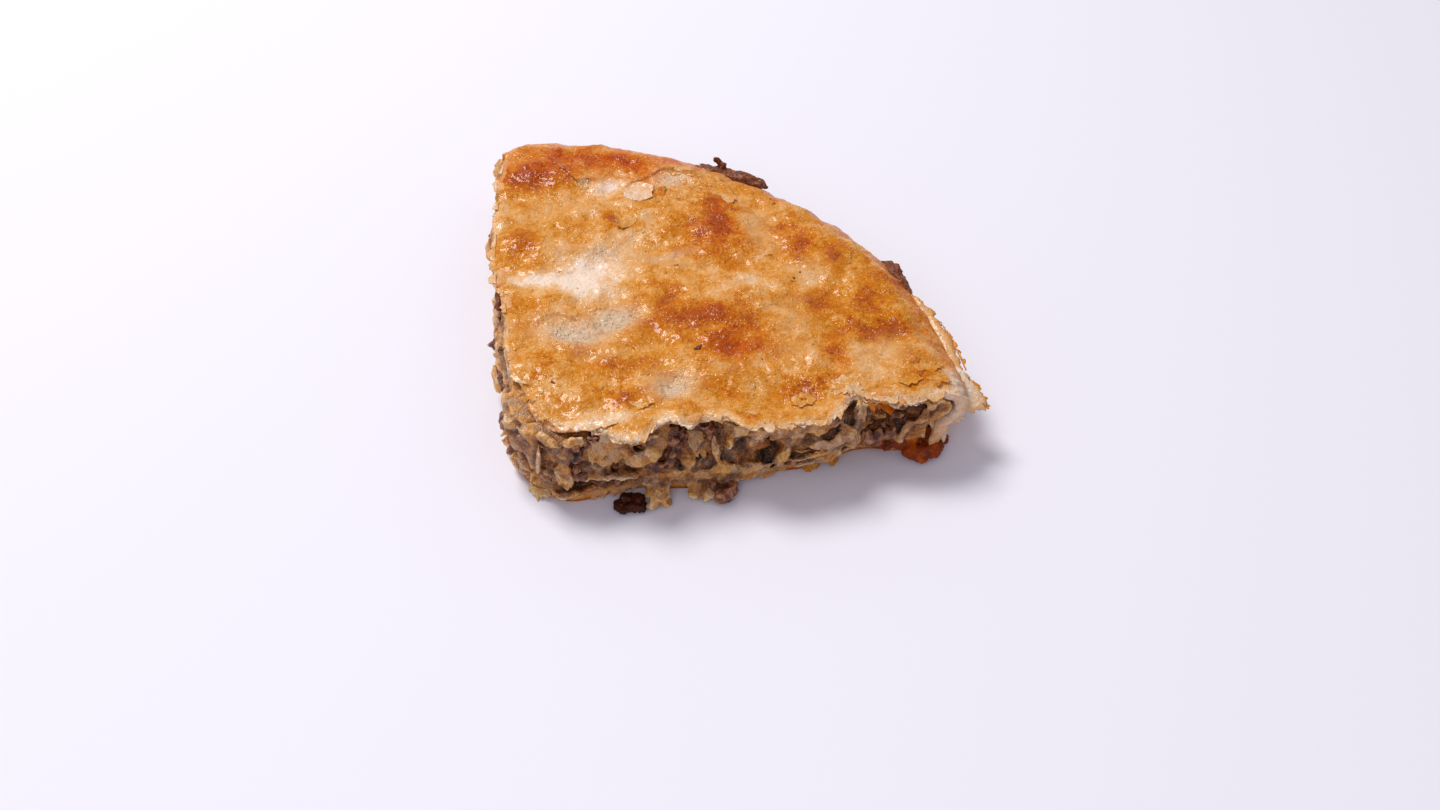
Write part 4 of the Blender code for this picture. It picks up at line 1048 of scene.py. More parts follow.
def add_crumb(surface, template, middle, size, draw):
    """One crumb of minced meat: two to four grains that cling together."""
    for _ in range(draw.randint(2, 4)):
        offset = np.array([draw.gauss(0, 0.45) * size for _ in range(3)])
        half = size * np.array([draw.uniform(0.55, 1.2), draw.uniform(0.5, 0.9), draw.uniform(0.45, 0.9)])
        spin, tilt = draw.uniform(0, 180), draw.uniform(-50, 50)
        add_lump(surface, template, middle + offset, half, spin, tilt, 0.4, draw.uniform(0, 60))


def make_meat(material):
    """Crumbs of fried minced meat in the two cut faces."""
    draw = random.Random(MEAT_SEED)
    surface = Surface()
    template = ball(CRUMB_STEPS)
    for side, along, z, length, height, count, size, out in MEAT_CLUSTERS:
        for _ in range(max(1, round(count * 0.5))):
            turn, share = draw.uniform(0, 2 * math.pi), math.sqrt(draw.random())
            at = (along + length * share * math.cos(turn), z + height * share * math.sin(turn))
            middle = on_cut(side, *at, 0.6 * out + draw.uniform(-1.0, 0.5))
            add_crumb(surface, template, middle, size * draw.uniform(0.8, 1.5), draw)
    for side, count in STRAY_CRUMBS.items():
        start, end = FACE_ENDS[side]
        for k in range(count):
            along = start + 5.0 + (end - start - 14.0) * (k + draw.random()) / count
            middle = on_cut(side, along, draw.uniform(5.0, 27.0), draw.uniform(0.2, 1.6))
            add_crumb(surface, template, middle, draw.uniform(0.7, 1.4), draw)
    for k, (middle, half, turn) in enumerate(FOOT_MEAT):
        add_lump(surface, template, np.array(middle), np.array(half), turn, rough=0.45, seed=k * 3.3)
    meat = melted(surface, "minced_meat", MEAT_VOXEL)
    hold_under(meat, MEAT_COVER)
    spots = plan_of(meat)
    move_out(meat, 0.26 * grain(spots, 1.5, 1.0) + 0.16 * grain(spots, 0.8, 2.0))
    hold_above(meat, CLEAR)
    spots = plan_of(meat)
    # The crests of the crumbs are painted lighter and the hollows between them darker, as painted shade.
    tone = 0.5 * np.clip(crests(meat, 8) / 0.45, -1, 1) + 0.4 * grain(spots, 3.4, 3.0)
    paint(meat, tone=0.45 + tone + 0.15 * grain(spots, 1.3, 4.0), pink=0.4 + 1.2 * grain(spots, 5.0, 5.0))
    return dress(meat, material)


# ---------------------------------------------------------------- loose and burnt bits

# Rings of points from the middle of a flake to its edge, the spacing along its edge and its
# thickness.
FLAKE_RINGS = (0.0, 0.22, 0.44, 0.62, 0.78, 0.9, 0.97, 1.0)
FLAKE_STEP, FLAKE_THICK = 0.35, 0.28

# Flakes that stand off the top leaf: outline in plan, how far it is lifted, how far its free side
# curls up and the direction of that side in degrees, ragged teeth, browning, redness.
TOP_FLAKES = (
    (((48.4, 137.9), (50.9, 138.8), (54.9, 140.9), (58.8, 138), (60.6, 134.1), (59.2, 127.6),
     (54, 125.6), (50.3, 126.8), (47.9, 130.5)), 0.15, 0.9, 20, 0.6, 0.1, 0.5),
    (((42.5, 120.1), (45.9, 120), (48.1, 117.1), (51.3, 114.4), (49.3, 111), (44.4, 108), (42, 109.7),
     (42.2, 115.5)), 0.2, 1.3, 190, 0.7, 0.4, 0.1),
    (((60.9, 134.1), (66.3, 134.6), (65.2, 130.8), (63.4, 125.8), (60.4, 123.7)), 0.15, 0.9, 60, 1,
     0.52, 0.3),
    (((29.2, 142.4), (34.5, 143.6), (33.8, 140.4), (30.2, 139.2)), 0.15, 0.7, 100, 0.8, 0.16, 0.2),
    (((66, 148.6), (71.7, 146.6), (74.2, 143.4), (70.5, 143.8)), 0.2, 1.2, 70, 1.1, 0.36, 0),
    (((73.6, 144.8), (79.3, 141.6), (82.4, 138.4), (77.4, 139.6)), 0.2, 1, 60, 1.1, 0.34, 0.1),
    (((76, 135), (82, 138.4), (88, 136.5), (93.2, 130), (94.2, 120.5), (90, 117.5), (87, 124),
     (80.5, 130.5)), 0.1, 0.8, 15, 1.6, 0.4, 0.2),
    (((66.5, 132.6), (74.1, 134.3), (80.3, 128.8), (80.8, 122.5), (78.7, 119.4), (72.5, 122),
     (67.5, 127)), 0.05, 0.5, 50, 1.6, 0.44, 0.2),
    (((107, 10.5), (112.5, 12), (117, 9), (117.6, 5), (113, 2.8), (107.5, 4.4)), 0.05, 0.5, -60, 1.8,
     0.26, 0.2),
    (((138, 13), (145, 15.5), (150, 12), (147, 8.4), (140, 8.6)), 0.1, 0.9, 30, 1.6, 0.46, 0.1),
    (((131, 6), (138, 9), (140.4, 5), (134, 2.4)), 0.1, 0.8, -90, 1.5, 0.42, 0),
    (((141.6, 6), (148, 7), (151.4, 3.2), (145, 1.2)), 0.1, 0.8, -60, 1.5, 0.44, 0.1),
    (((92.4, 7.6), (98.6, 8.6), (101, 3.2), (95, 0.6), (91.4, 3.4)), 0.05, 0.6, -90, 1.5, 0.4, 0.1),
    (((98, 83.6), (101.6, 84.2), (103, 82), (99.4, 81.2)), 0.1, 0.5, 90, 0.5, 0.4, 0),
    (((-3, 26.5), (2.6, 27.6), (5, 22), (1.4, 16.6), (-3.6, 17.6)), 0.05, 0.7, 200, 1.8, 0.34, 0),
    (((18, 3.6), (24, 4.4), (29, 2.2), (25.4, -0.6), (19.4, 0.2)), 0.1, 0.8, -90, 1, 0.08, 0),
    (((34.6, 11.2), (40.6, 12.2), (43.4, 9), (38.4, 6.6)), 0.05, 0.5, -60, 1.6, 0.34, 0),
)


def drop_to(shape, x, y, fallback):
    """Heights of a surface under plan points."""
    heights = []
    for px, py in zip(x.ravel(), y.ravel()):
        start = Vector(((px - MIDDLE[0]) * MM, (py - MIDDLE[1]) * MM, 0.08))
        hit = shape.ray_cast(start, Vector((0, 0, -1)))[0]
        heights.append(hit.z / MM if hit else fallback)
    return np.array(heights).reshape(x.shape)


def make_flakes(shape, material):
    """Torn flakes of the top leaf. They are placed as they lie, so nothing settles them."""
    surface = Surface()
    browning, ruddy = [], []
    for k, (outline, lift, curl, direction, teeth, brown, red) in enumerate(TOP_FLAKES):
        corners = np.array([*outline, outline[0]])
        length = np.concatenate([[0], np.cumsum(np.hypot(*np.diff(corners, axis=0).T))])
        count = int(length[-1] / FLAKE_STEP)
        at = np.linspace(0, length[-1], count + 1)
        border = np.stack([np.interp(at, length, corners[:, j]) for j in range(2)], axis=1)
        centre = border[:-1].mean(axis=0)
        away = border - centre
        away /= np.linalg.norm(away, axis=1)[:, None]
        rough = with_height(*border.T, k * 9.0)
        tooth = 0.9 * grain(rough, 3.0, 1.0) + 0.7 * grain(rough, 1.3, 6.0)
        tooth = tooth + 0.4 * np.abs(grain(rough, 0.8, 2.0)) - 0.2
        border = border + away * (teeth * tooth)[:, None]
        shares = np.array(FLAKE_RINGS)[:, None]
        x, y = (middle + shares * (edge - middle) for middle, edge in zip(centre, border.T))
        ground = drop_to(shape, x, y, TOP_HEIGHT)
        angle = np.arctan2(away[:, 1], away[:, 0]) - math.radians(direction)
        free = np.clip(np.cos(angle) + 0.15, 0, 1)[None, :]
        wave = 0.25 * grain(with_height(x, y, k), 1.7, 3.0).reshape(x.shape)
        z = ground + lift + shares**2.5 * (curl * free + 0.12) + wave * shares
        sheet = np.stack([x, y, z], axis=2)
        under = sheet - (0.0, 0.0, FLAKE_THICK)
        top, bottom = surface.patch(sheet), surface.patch(under)
        surface.sew(top[-1], bottom[-1])
        spots = sheet.reshape(-1, 3)
        tone = brown + 0.22 * grain(spots, 3.4, 4.0) + 0.16 * grain(spots, 1.2, 5.0)
        rim_pale = 0.07 * (shares**6 * np.ones_like(x)).ravel()
        browning += [tone - rim_pale, tone - rim_pale - 0.08]
        ruddy.append(np.full(tone.size * 2, red))
    piece = new_piece("torn_flakes", np.concatenate(surface.points), surface.faces)
    paint_leaf(piece, np.concatenate(browning), np.concatenate(ruddy))
    close(piece)
    return dress(piece, material)


def paint_leaf(piece, browning, ruddy, glassy=0.0, thin=0.0):
    """What the baked leaf's material reads, on a piece with no tears of its own."""
    paint(
        piece, browning=GOLDEN + BROWN_SHARE * (np.asarray(browning) - 0.4), ruddy=ruddy, glassy=glassy,
        thin=thin, tear_dark=0.0,
    )
    paint(piece, high=NO_TEAR, tear_gap=NO_TEAR)


# Loose leaves: a root line and a tip line, each through three points, how far the leaf bellies out,
# thickness, ragged reach, browning at the root and at the tip, redness, and glassiness (+) or how
# sheer the leaf is (-).
LOOSE_LEAVES = (
    (((155.6, 17.2, 27), (153.5, 10.5, 25), (151.5, 5, 20.5)),
     ((160.2, 12, 25), (164, 1.6, 21), (157, -1.2, 16)), 1, 0.4, 4, -0.2, 0.3, 0, 0.25),
    (((155, 14, 26), (155.6, 8, 24), (154, 4, 20.5)),
     ((159.6, 8, 23), (161, 2, 19), (155.6, 0.4, 14.5)), 1.6, 0.4, 3.6, -0.2, 0.1, 0, 0.35),
    (((158, 14, 25.8), (162.4, 5.5, 22.6), (163.4, 0.5, 20.4)),
     ((159.6, 13.8, 26), (165, 5.4, 23), (166.6, -1.6, 19.4)), 0.2, 0.35, 1.4, 0.34, 0.6, 0, 0),
    (((150, 8, 24), (151, 5.5, 20), (151, 4.5, 16)),
     ((157, 1.4, 17), (156, 0.4, 14.5), (152.5, 3, 11.5)), 1.2, 0.4, 3, -0.15, 0.1, 0, 0.5),
    (((159.2, 42, 26), (160.4, 29, 25.6), (161.6, 16.6, 23.8)),
     ((160.4, 42, 26.1), (161.6, 29, 25.8), (163, 16.6, 24)), 0.1, 0.4, 1.4, 0.45, 0.55, 0, 0),
    (((150.5, 56, 28), (155, 38, 26.5), (157, 16, 24.5)),
     ((154.4, 55, 27), (159.6, 38, 25.6), (160.4, 14.6, 22.5)), 1.3, 0.45, 1.6, 0.1, 0.6, 0, -0.7),
    (((118, 3, 31.6), (124, 3, 31.6), (131, 2, 31.6)),
     ((118, -3, 29.4), (124.5, -4.4, 28.2), (130, -3.4, 29)), 0.3, 0.5, 2.6, 0.6, 0.66, 0.3, 0),
    (((103, 2, 30), (105, 2, 30), (107, 2, 30)),
     ((102.6, -5.6, 27), (104.4, -6.6, 26.4), (106, -5.6, 27.4)), 0.2, 0.5, 1.6, 0.5, 0.6, 0.2, 0),
    (((142, 6, 29), (147, 6, 28), (151, 8, 27)), ((142.4, -1, 15), (147, -1.4, 12), (150.6, 2, 10.5)),
     1.6, 0.6, 3.2, -0.05, 0.1, 0, 0.5),
    (((149, 3, 22), (153, 4, 20.5), (156.5, 8, 19)),
     ((147.6, -1.6, 9.5), (151.6, -0.6, 8), (155.2, 3.4, 9.5)), 1.2, 0.6, 3.2, -0.1, 0.05, 0, 0.4),
    (((144.6, 3, 13), (147.5, 3, 12.6), (150, 4.5, 12.2)),
     ((146, -0.8, 9.2), (149.5, -1, 7.4), (151.6, 1.8, 8.2)), 0.5, 0.6, 1.8, 0.05, 0.06, 0, 0.4),
    (((4, 0, 2.6), (20, -1, 2.4), (36, 0, 2.6)), ((3, -2.4, 1.6), (19, -3.8, 1.2), (33, -3.2, 1.3)),
     0.2, 0.6, 2.2, 0.3, 0.44, 0.2, 0.3),
    (((48, 0, 2.8), (54, -1, 2.6), (60, 0, 2.8)), ((49, -3.2, 1.5), (54, -4.2, 1.2), (60, -3.4, 1.4)),
     0.2, 0.6, 1.8, 0.24, 0.4, 0.2, 0.3),
    (((70, 1, 3.4), (80, 1, 3.4), (92, 2, 3.8)), ((71, -3.4, 1.4), (80, -4.4, 1.2), (91, -2.6, 1.6)),
     0.2, 0.6, 1.6, 0.24, 0.38, 0.1, 0.2),
    (((94, 3, 4), (99, 3.5, 4.2), (104, 4, 4.4)),
     ((94.4, -3, 1.2), (99, -3.4, 0.9), (103.8, -2.8, 1.2)), 0.3, 0.6, 0.8, 0.34, 0.5, 0, 0),
    (((105, 4.5, 4.4), (108, 4.5, 4.8), (111, 5, 5)),
     ((105.2, -1.8, 1.4), (108, -2.2, 1.1), (110.8, -1.4, 1.5)), 0.3, 0.6, 0.8, 0.36, 0.52, 0, 0),
    (((-2.5, 3, 4.4), (-4.2, 10, 4.4), (-6.5, 20, 4.4)),
     ((-3.4, 1.5, 2.6), (-5.6, 11, 3), (-9.6, 20, 3.4)), 0.3, 0.5, 1.8, 0.3, 0.4, 0, 0.3),
    (((-6.5, 24, 5), (-7, 36, 5), (-7, 48, 5)), ((-9.8, 24, 4), (-10.6, 36, 4.6), (-9.8, 47, 4.2)), 0.4,
     0.5, 1.8, 0.3, 0.45, 0, 0.2),
    (((-4, 12, 24), (-5, 18, 24), (-5, 25, 23)), ((-9, 12, 21), (-11, 17, 20), (-9.5, 24, 20)), 0.6,
     0.5, 1.8, 0.26, 0.4, 0, 0.1),
    (((-2, 157, 27), (0, 165, 27), (5, 171, 26)), ((-6, 158, 29.5), (-4, 168, 29), (2, 175, 28)), 0.6,
     0.5, 1.6, 0.2, 0.34, 0.1, 0.3),
    (((-2, 154, 23), (0, 163, 23), (4, 170, 22)), ((-6.8, 155, 22), (-5, 166, 22), (1, 173.6, 21.5)),
     0.6, 0.5, 1.6, 0.1, 0.2, 0, 0.6),
)
LEAF_LONG, LEAF_WIDE = 64, 16

# The fringe of each torn edge: how many small leaves, from where to where along the cut.
FRINGE = {"front": (26, 8.0, 146.0), "left": (12, 28.0, 160.0)}

# How many torn ends of the soft inner leaves stand out of each cut.
SHREDS = {"front": 18, "left": 20}


def add_leaf(surface, root, tip, belly, thick, teeth, seed, steps=(LEAF_LONG, LEAF_WIDE), wave=1.0):
    """A thin leaf with a ragged free edge, closed all round. A higher wave wrinkles it more. Gives
    its points and the share of the way from root to tip for each, front and back."""
    along = np.linspace(0, 1, steps[0] + 1)
    across = np.linspace(0, 1, steps[1] + 1)[:, None, None]
    start, end = bent_line(root, along), bent_line(tip, along)
    reach_out = np.linalg.norm(end - start, axis=1)
    line = with_height(along * np.linalg.norm(end[-1] - end[0]), np.full(along.shape, seed * 13.0))
    tooth = grain(line, 3.2, 1.0) + 0.7 * grain(line, 1.3, 2.0) + 0.5 * grain(line, 0.7, 3.0) - 0.25
    stretch = 1 + teeth * tooth / np.maximum(reach_out, 0.5) - 0.5 * np.abs(2 * along - 1) ** 3
    stretch = np.clip(stretch, 0.2, 1.15)
    sheet = start + (end - start) * across * stretch[None, :, None]
    down, sideways = np.gradient(sheet, axis=0), np.gradient(sheet, axis=1)
    aside = np.cross(sideways, down)
    aside /= np.maximum(np.linalg.norm(aside, axis=2, keepdims=True), 1e-9)
    flat = sheet.reshape(-1, 3) + (0.0, 0.0, seed * 5.0)
    ripple = wave * (0.5 * grain(flat, 4.0, 3.0) + 0.22 * grain(flat, 1.6, 4.0))
    out = np.sin(math.pi * across * 0.8) * belly + ripple.reshape(*sheet.shape[:2], 1) * across**0.5
    half = 0.5 * thick * (1 - 0.5 * across)
    surface.slab(sheet + aside * (out + half), sheet + aside * (out - half))
    share = np.broadcast_to(across[..., 0], sheet.shape[:2]).ravel()
    return np.concatenate([flat, flat]), np.concatenate([share, share])


def make_leaves(material):
    """Thin leaves of pastry that have come loose at the edges, and the fringe of the torn edge."""
    surface = Surface()
    tones = []

    def tone(spots, share, brown, tip_brown, red, glassy):
        level = brown + (tip_brown - brown) * share**2 + 0.16 * grain(spots, 2.4, 5.0)
        level += 0.08 * grain(spots, 1.0, 6.0)
        sheer = max(-glassy, 0.0) * (1 - share**8)
        tones.append(np.stack([level, 0 * level + red, 0 * level + max(glassy, 0.0), sheer], axis=1))

    for k, (root, tip, belly, thick, teeth, brown, tip_brown, red, glassy) in enumerate(LOOSE_LEAVES):
        spots, share = add_leaf(surface, unsettled(root), unsettled(tip), belly, thick, teeth, float(k))
        tone(spots, share, brown, tip_brown, red, glassy)
    draw = random.Random(FRINGE_SEED)
    for side, (count, low, high) in FRINGE.items():
        for k in range(count):
            middle = low + (high - low) * (k + draw.uniform(0.1, 0.9)) / count
            wide = draw.uniform(3.0, 9.0)
            drop = draw.uniform(0.5, 2.0)
            out = draw.uniform(0.4, 1.8)
            lines = []
            for inward, fall in ((1.6, 0.5), (-out, drop)):
                line = []
                for step in (-0.5, 0.0, 0.5):
                    at = middle + wide * step * (1.0 if inward > 0 else 0.7)
                    edge = -float(reading(TEAR_AT[side], at)) + inward
                    x, y = (at, FRONT_CUT + edge) if side == "front" else (LEFT_CUT + edge, at)
                    height = float(top_height(np.array([x]), np.array([y]))[0])
                    line.append((x, y, height - fall))
                lines.append(line)
            seed = 40.0 + k + (60.0 if side == "left" else 0.0)
            spots, share = add_leaf(surface, *lines, 0.2, 0.45, 1.4, seed, (20, 7))
            tone(spots, share, draw.uniform(0.1, 0.3), draw.uniform(0.0, 0.3), 0.1, draw.uniform(0, 0.3))
    piece = surface.raw("loose_leaves")
    paint_leaf(piece, *np.concatenate(tones).T)
    close(piece)
    hold_above(piece, CLEAR)
    return dress(piece, material)


# Soft leaves of dough that hang at the tip and out of the front cut: a root line and a free line,
# how far the leaf bellies out, thickness, ragged reach, how pale it is, stain, fat, wetness.
HANGING_DOUGH = (
    (((1, 33, 30.5), (-2, 28, 30), (-4.5, 22, 29)), ((-3, 31, 28.5), (-7, 26.5, 28), (-8, 20, 27)), 0.8,
     1, 1.8, 0.66, 0.1, 0.1, 0.3),
    (((-5, 28, 28), (-4.5, 22, 26), (-4, 16, 22)), ((-9, 27, 23), (-8, 20, 20), (-6, 13, 15)), 1, 0.8,
     2, 0.5, 0.2, 0.4, 0.8),
    (((-2, 10, 30.5), (4, 11, 31), (12, 8, 31)), ((-3.5, 3, 24), (3, 0.6, 22), (12, 0, 25)), 2.2, 1,
     2.2, 0.6, 0.1, 0.3, 0.5),
    (((-5, 19, 17), (-5, 16.5, 16.5), (-5, 14, 16)),
     ((-9.5, 17.6, 16.8), (-12.4, 15.6, 16.4), (-8.5, 13.6, 15.6)), 0.3, 0.6, 1.6, 0.6, 0, 0.6, 0.2),
    (((-4.6, 14.5, 13), (-4.6, 12.7, 12.6), (-4.6, 10.5, 12)),
     ((-7.4, 13.6, 12.2), (-9, 12.3, 11.6), (-7, 10.6, 11)), 0.3, 0.7, 1.2, 0.8, 0, 0.3, 0.2),
    (((-3.5, 18, 10), (-2.5, 9, 9), (-1.5, 3, 8.5)), ((-5.8, 18, 6), (-4.8, 9.5, 4.5), (-3.8, 3, 3.5)),
     0.6, 0.8, 1.6, 0.45, 0.2, 0.85, 0.4),
    (((-3, 8, 2.4), (-1, 3.5, 2.4), (3.5, 2.5, 2.6)),
     ((-5, 6.5, 1.2), (-1.6, -1.4, 0.6), (4.6, -0.8, 1)), 0.3, 0.7, 2.2, 0.85, 0, 0.2, 0.2),
    (((17, -1, 29), (23, -2, 28.5), (32, -1.5, 24.5)),
     ((15.5, -5, 25), (22, -6.4, 21.5), (30.5, -5.4, 21)), 0.8, 0.6, 3, 0.75, 0, 0.5, 0.1),
    (((53, 3, 24), (57, 2, 24.5), (62, 2.5, 22)),
     ((53.6, -2.6, 18), (58, -3.4, 15.5), (61.6, -2.8, 16)), 0.8, 0.8, 3, 0.6, 0, 0.1, 0.1),
    (((62, 3, 26), (65, 2.5, 26), (69.5, 3, 25)),
     ((62.6, -2.4, 20), (65.6, -3, 17.5), (69, -2.4, 18.5)), 1, 0.8, 2.6, 0.6, 0.1, 0, 0.3),
    (((148, 2, 14), (151, 3, 13), (154, 6, 13)),
     ((146.6, -2.2, 8.6), (150, -1.8, 7), (153.6, 2.2, 8.6)), 0.8, 1, 2.2, 0.95, 0, 0.1, 0.1),
)


def make_shreds(material):
    """Torn ends of the soft inner leaves, standing out of both cut faces."""
    surface = Surface()
    draw = random.Random(SHRED_SEED)
    tones = []
    for side, count in SHREDS.items():
        start, end = FACE_ENDS[side]
        for k in range(count):
            along = start + 5.0 + (end - start - 14.0) * (k + draw.uniform(0, 1)) / count
            z = draw.uniform(5.0, 27.0)
            # The hollow of minced meat and the pocket near the right end stay open.
            if side == "front" and (abs(along - 54.0) < 9.0 and z > 19.0 or abs(along - 131.0) < 10.0):
                continue
            wide, fall = draw.uniform(5.0, 12.0), draw.uniform(-2.0, 1.4)
            slope, out = draw.uniform(-0.5, 0.5), draw.uniform(0.6, 2.0)
            marks = np.array([-0.5, 0.0, 0.5])
            root = on_cut(side, along + wide * marks, z + slope * wide * marks, -0.8)
            free = on_cut(side, along + wide * marks * 0.6, z + slope * wide * marks * 0.6 + fall, 0.0)
            free[:, ACROSS[side]] = root[1, ACROSS[side]] - out - 0.8
            belly = draw.uniform(-0.6, 0.6)
            _, share = add_leaf(surface, root, free, belly, 0.7, 2.0, float(k), (26, 8), 1.8)
            tones.append(np.outer(share, (0.25, 0.0, 0.0, 0.0)) + (0.46, 0.1, 0.0, 0.3))
    for k, (root, free, belly, thick, teeth, *finish) in enumerate(HANGING_DOUGH):
        lines = unsettled(root), unsettled(free)
        _, share = add_leaf(surface, *lines, belly, thick, teeth, 7.0 + k, (36, 16), 2.0)
        tones.append(np.outer(share - 0.5, (0.15, 0.0, 0.2, 0.0)) + finish)
    piece = surface.raw("dough_shreds")
    spots = plan_of(piece)
    mottle = 0.18 * grain(spots, 3.0, 5.0) + 0.12 * grain(spots, 1.2, 6.0)
    stand, stain, fat, wet = np.concatenate(tones).T + mottle
    paint(piece, stand_out=stand, stain=stain, fat=fat, wet=wet)
    close(piece)
    hold_above(piece, CLEAR)
    return dress(piece, material)


# Juice that ran out at the front right of the base and set, and the small scorched lump at the foot
# of the front cut: middle, half sizes. What lies left of one place is painted scorched black; the
# last row is a dark lump put in the shaded hollow above the scorched lump, as painted shade.
CARAMEL = (
    ((122, 5.2, 5.4), (3, 2.4, 2.4)), ((125.5, 3.6, 4.6), (3.6, 2.6, 2.8)),
    ((129.5, 2.4, 4.4), (3.8, 2.4, 2.6)), ((133.5, 1.2, 4.6), (3.6, 2.4, 2.3)),
    ((137, -1.8, 3.6), (3.8, 3.4, 2.8)), ((140, -4, 2.4), (4.2, 3, 2.2)),
    ((143.4, -2.8, 3.4), (4.4, 3.6, 2.9)), ((147, -0.6, 3.8), (4, 3.6, 2.9)),
    ((150.2, 1.6, 4.8), (3, 3, 2.4)), ((138, 1.6, 7), (5.2, 2.8, 2.6)),
    ((144.5, 2.2, 7.4), (5.2, 2.8, 2.4)), ((126, 4, 8), (4, 2.6, 2.4)),
    ((132.5, 3.2, 8), (4.4, 2.6, 2.2)), ((30.6, -10.8, 1.9), (4.6, 2.2, 1.7)),
    ((27.6, -9.4, 1.6), (2.4, 2.2, 1.4)), ((34.6, -10.8, 1.6), (3, 1.9, 1.4)),
    ((32, -7, 2.2), (4.4, 3, 1.7)),
)
SCORCHED_LEFT_OF = 36.0
JUICE_VOXEL = 0.5

# Filling that burnt where it came through: middle, half sizes, turn in degrees.
BURNT = (
    ((148.6, 73, 26.4), (4.2, 6.4, 3.4), 18), ((148.4, 65, 27), (4.4, 6.4, 3.2), 18),
    ((150.6, 59.6, 25.4), (2.8, 4.2, 3), 18), ((88, 146.6, 30), (8, 3.4, 2), -34),
    ((99, 141, 29.8), (8, 4, 2.2), -38), ((93, 147.6, 27.6), (10, 3.4, 3), -38),
    ((106, 136.4, 29.4), (4, 3, 1.8), -44), ((92, 150.4, 31), (1.2, 1.2, 2.4), 0),
    ((90.6, 150.4, 33.4), (1.5, 1.2, 1.4), 0), ((93.4, 149, 31.4), (1.6, 1.2, 1.2), 20),
    ((-7.4, 82, 27), (1.8, 3.4, 1.8), 0), ((-8, 79, 25), (1.6, 2, 1.6), 0),
    ((-8.2, 60, 20), (1.6, 3, 2.2), 0),
)
BURNT_VOXEL = 0.55

# Dark specks on the top leaf: place in plan, size.
SPECKS = (
    (62.8, 82.4, 0.5), (61.8, 82.2, 0.35), (63.3, 34.8, 1.2), (62, 34.2, 0.9), (64, 35.8, 0.7),
    (66.9, 42.1, 0.35), (85.3, 25.4, 0.35), (107.7, 13.7, 0.4), (77.7, 51.8, 0.3), (109.6, 70.9, 0.5),
    (106.4, 67.6, 0.6), (105.3, 65.8, 0.4), (109, 117, 0.6), (108, 120.6, 0.4), (8.6, 25, 0.7),
    (9.2, 24.2, 0.45), (17, 88, 0.35), (52, 96, 0.3), (96, 12, 0.3), (30.4, 30.6, 0.3),
)


def make_burnt(shape, material):
    """Burnt bits: boiled-over filling at the rim and the foot, and specks on the top."""
    surface = Surface()
    template = ball(LUMP_STEPS)
    for k, (middle, half, turn) in enumerate(BURNT):
        add_lump(surface, template, np.array(middle), np.array(half), turn, rough=0.5, seed=k * 2.9)
    piece = melted(surface, "burnt_filling", BURNT_VOXEL)
    spots = plan_of(piece)
    move_out(piece, 0.5 * grain(spots, 2.2, 1.0) + 0.35 * np.abs(grain(spots, 1.1, 2.0)) - 0.2)
    hold_above(piece, CLEAR)
    dress(piece, material)
    dots = Surface()
    small = ball(CRUMB_STEPS)
    for k, (x, y, size) in enumerate(SPECKS):
        ground = drop_to(shape, np.array([x]), np.array([y]), TOP_HEIGHT)[0]
        half = np.array([size, size * 0.75, size * 0.5])
        add_lump(dots, small, np.array([x, y, ground + 0.1]), half, k * 47.0, rough=0.4, seed=k * 1.9)
    specks = new_piece("burnt_specks", np.concatenate(dots.points), dots.faces)
    dress(specks, material)
    return piece, specks


def make_caramel(material):
    """The glossy run of caramelised juice at the foot of the front cut."""
    surface = Surface()
    template = ball(LUMP_STEPS)
    for k, (middle, half) in enumerate(CARAMEL):
        add_lump(surface, template, unsettled([middle])[0], np.array(half), rough=0.22, seed=k * 3.7)
    piece = melted(surface, "caramel_run", JUICE_VOXEL)
    spots = plan_of(piece)
    # Black for the scorched lump, and for the dark lump that stands in the shaded hollow above it.
    scorched = np.clip((SCORCHED_LEFT_OF + 10.0 - spots[:, 0]) / 10.0, 0, 1)
    crags = (0.8 + 0.6 * scorched) * grain(spots, 3.4, 1.0)
    crags += (0.5 + 0.9 * scorched) * np.abs(grain(spots, 1.7, 2.0))
    move_out(piece, crags - 0.1 - 0.3 * scorched)
    hold_above(piece, CLEAR)
    paint(piece, scorched=scorched)
    return dress(piece, material)


# ---------------------------------------------------------------- what repeats over a surface


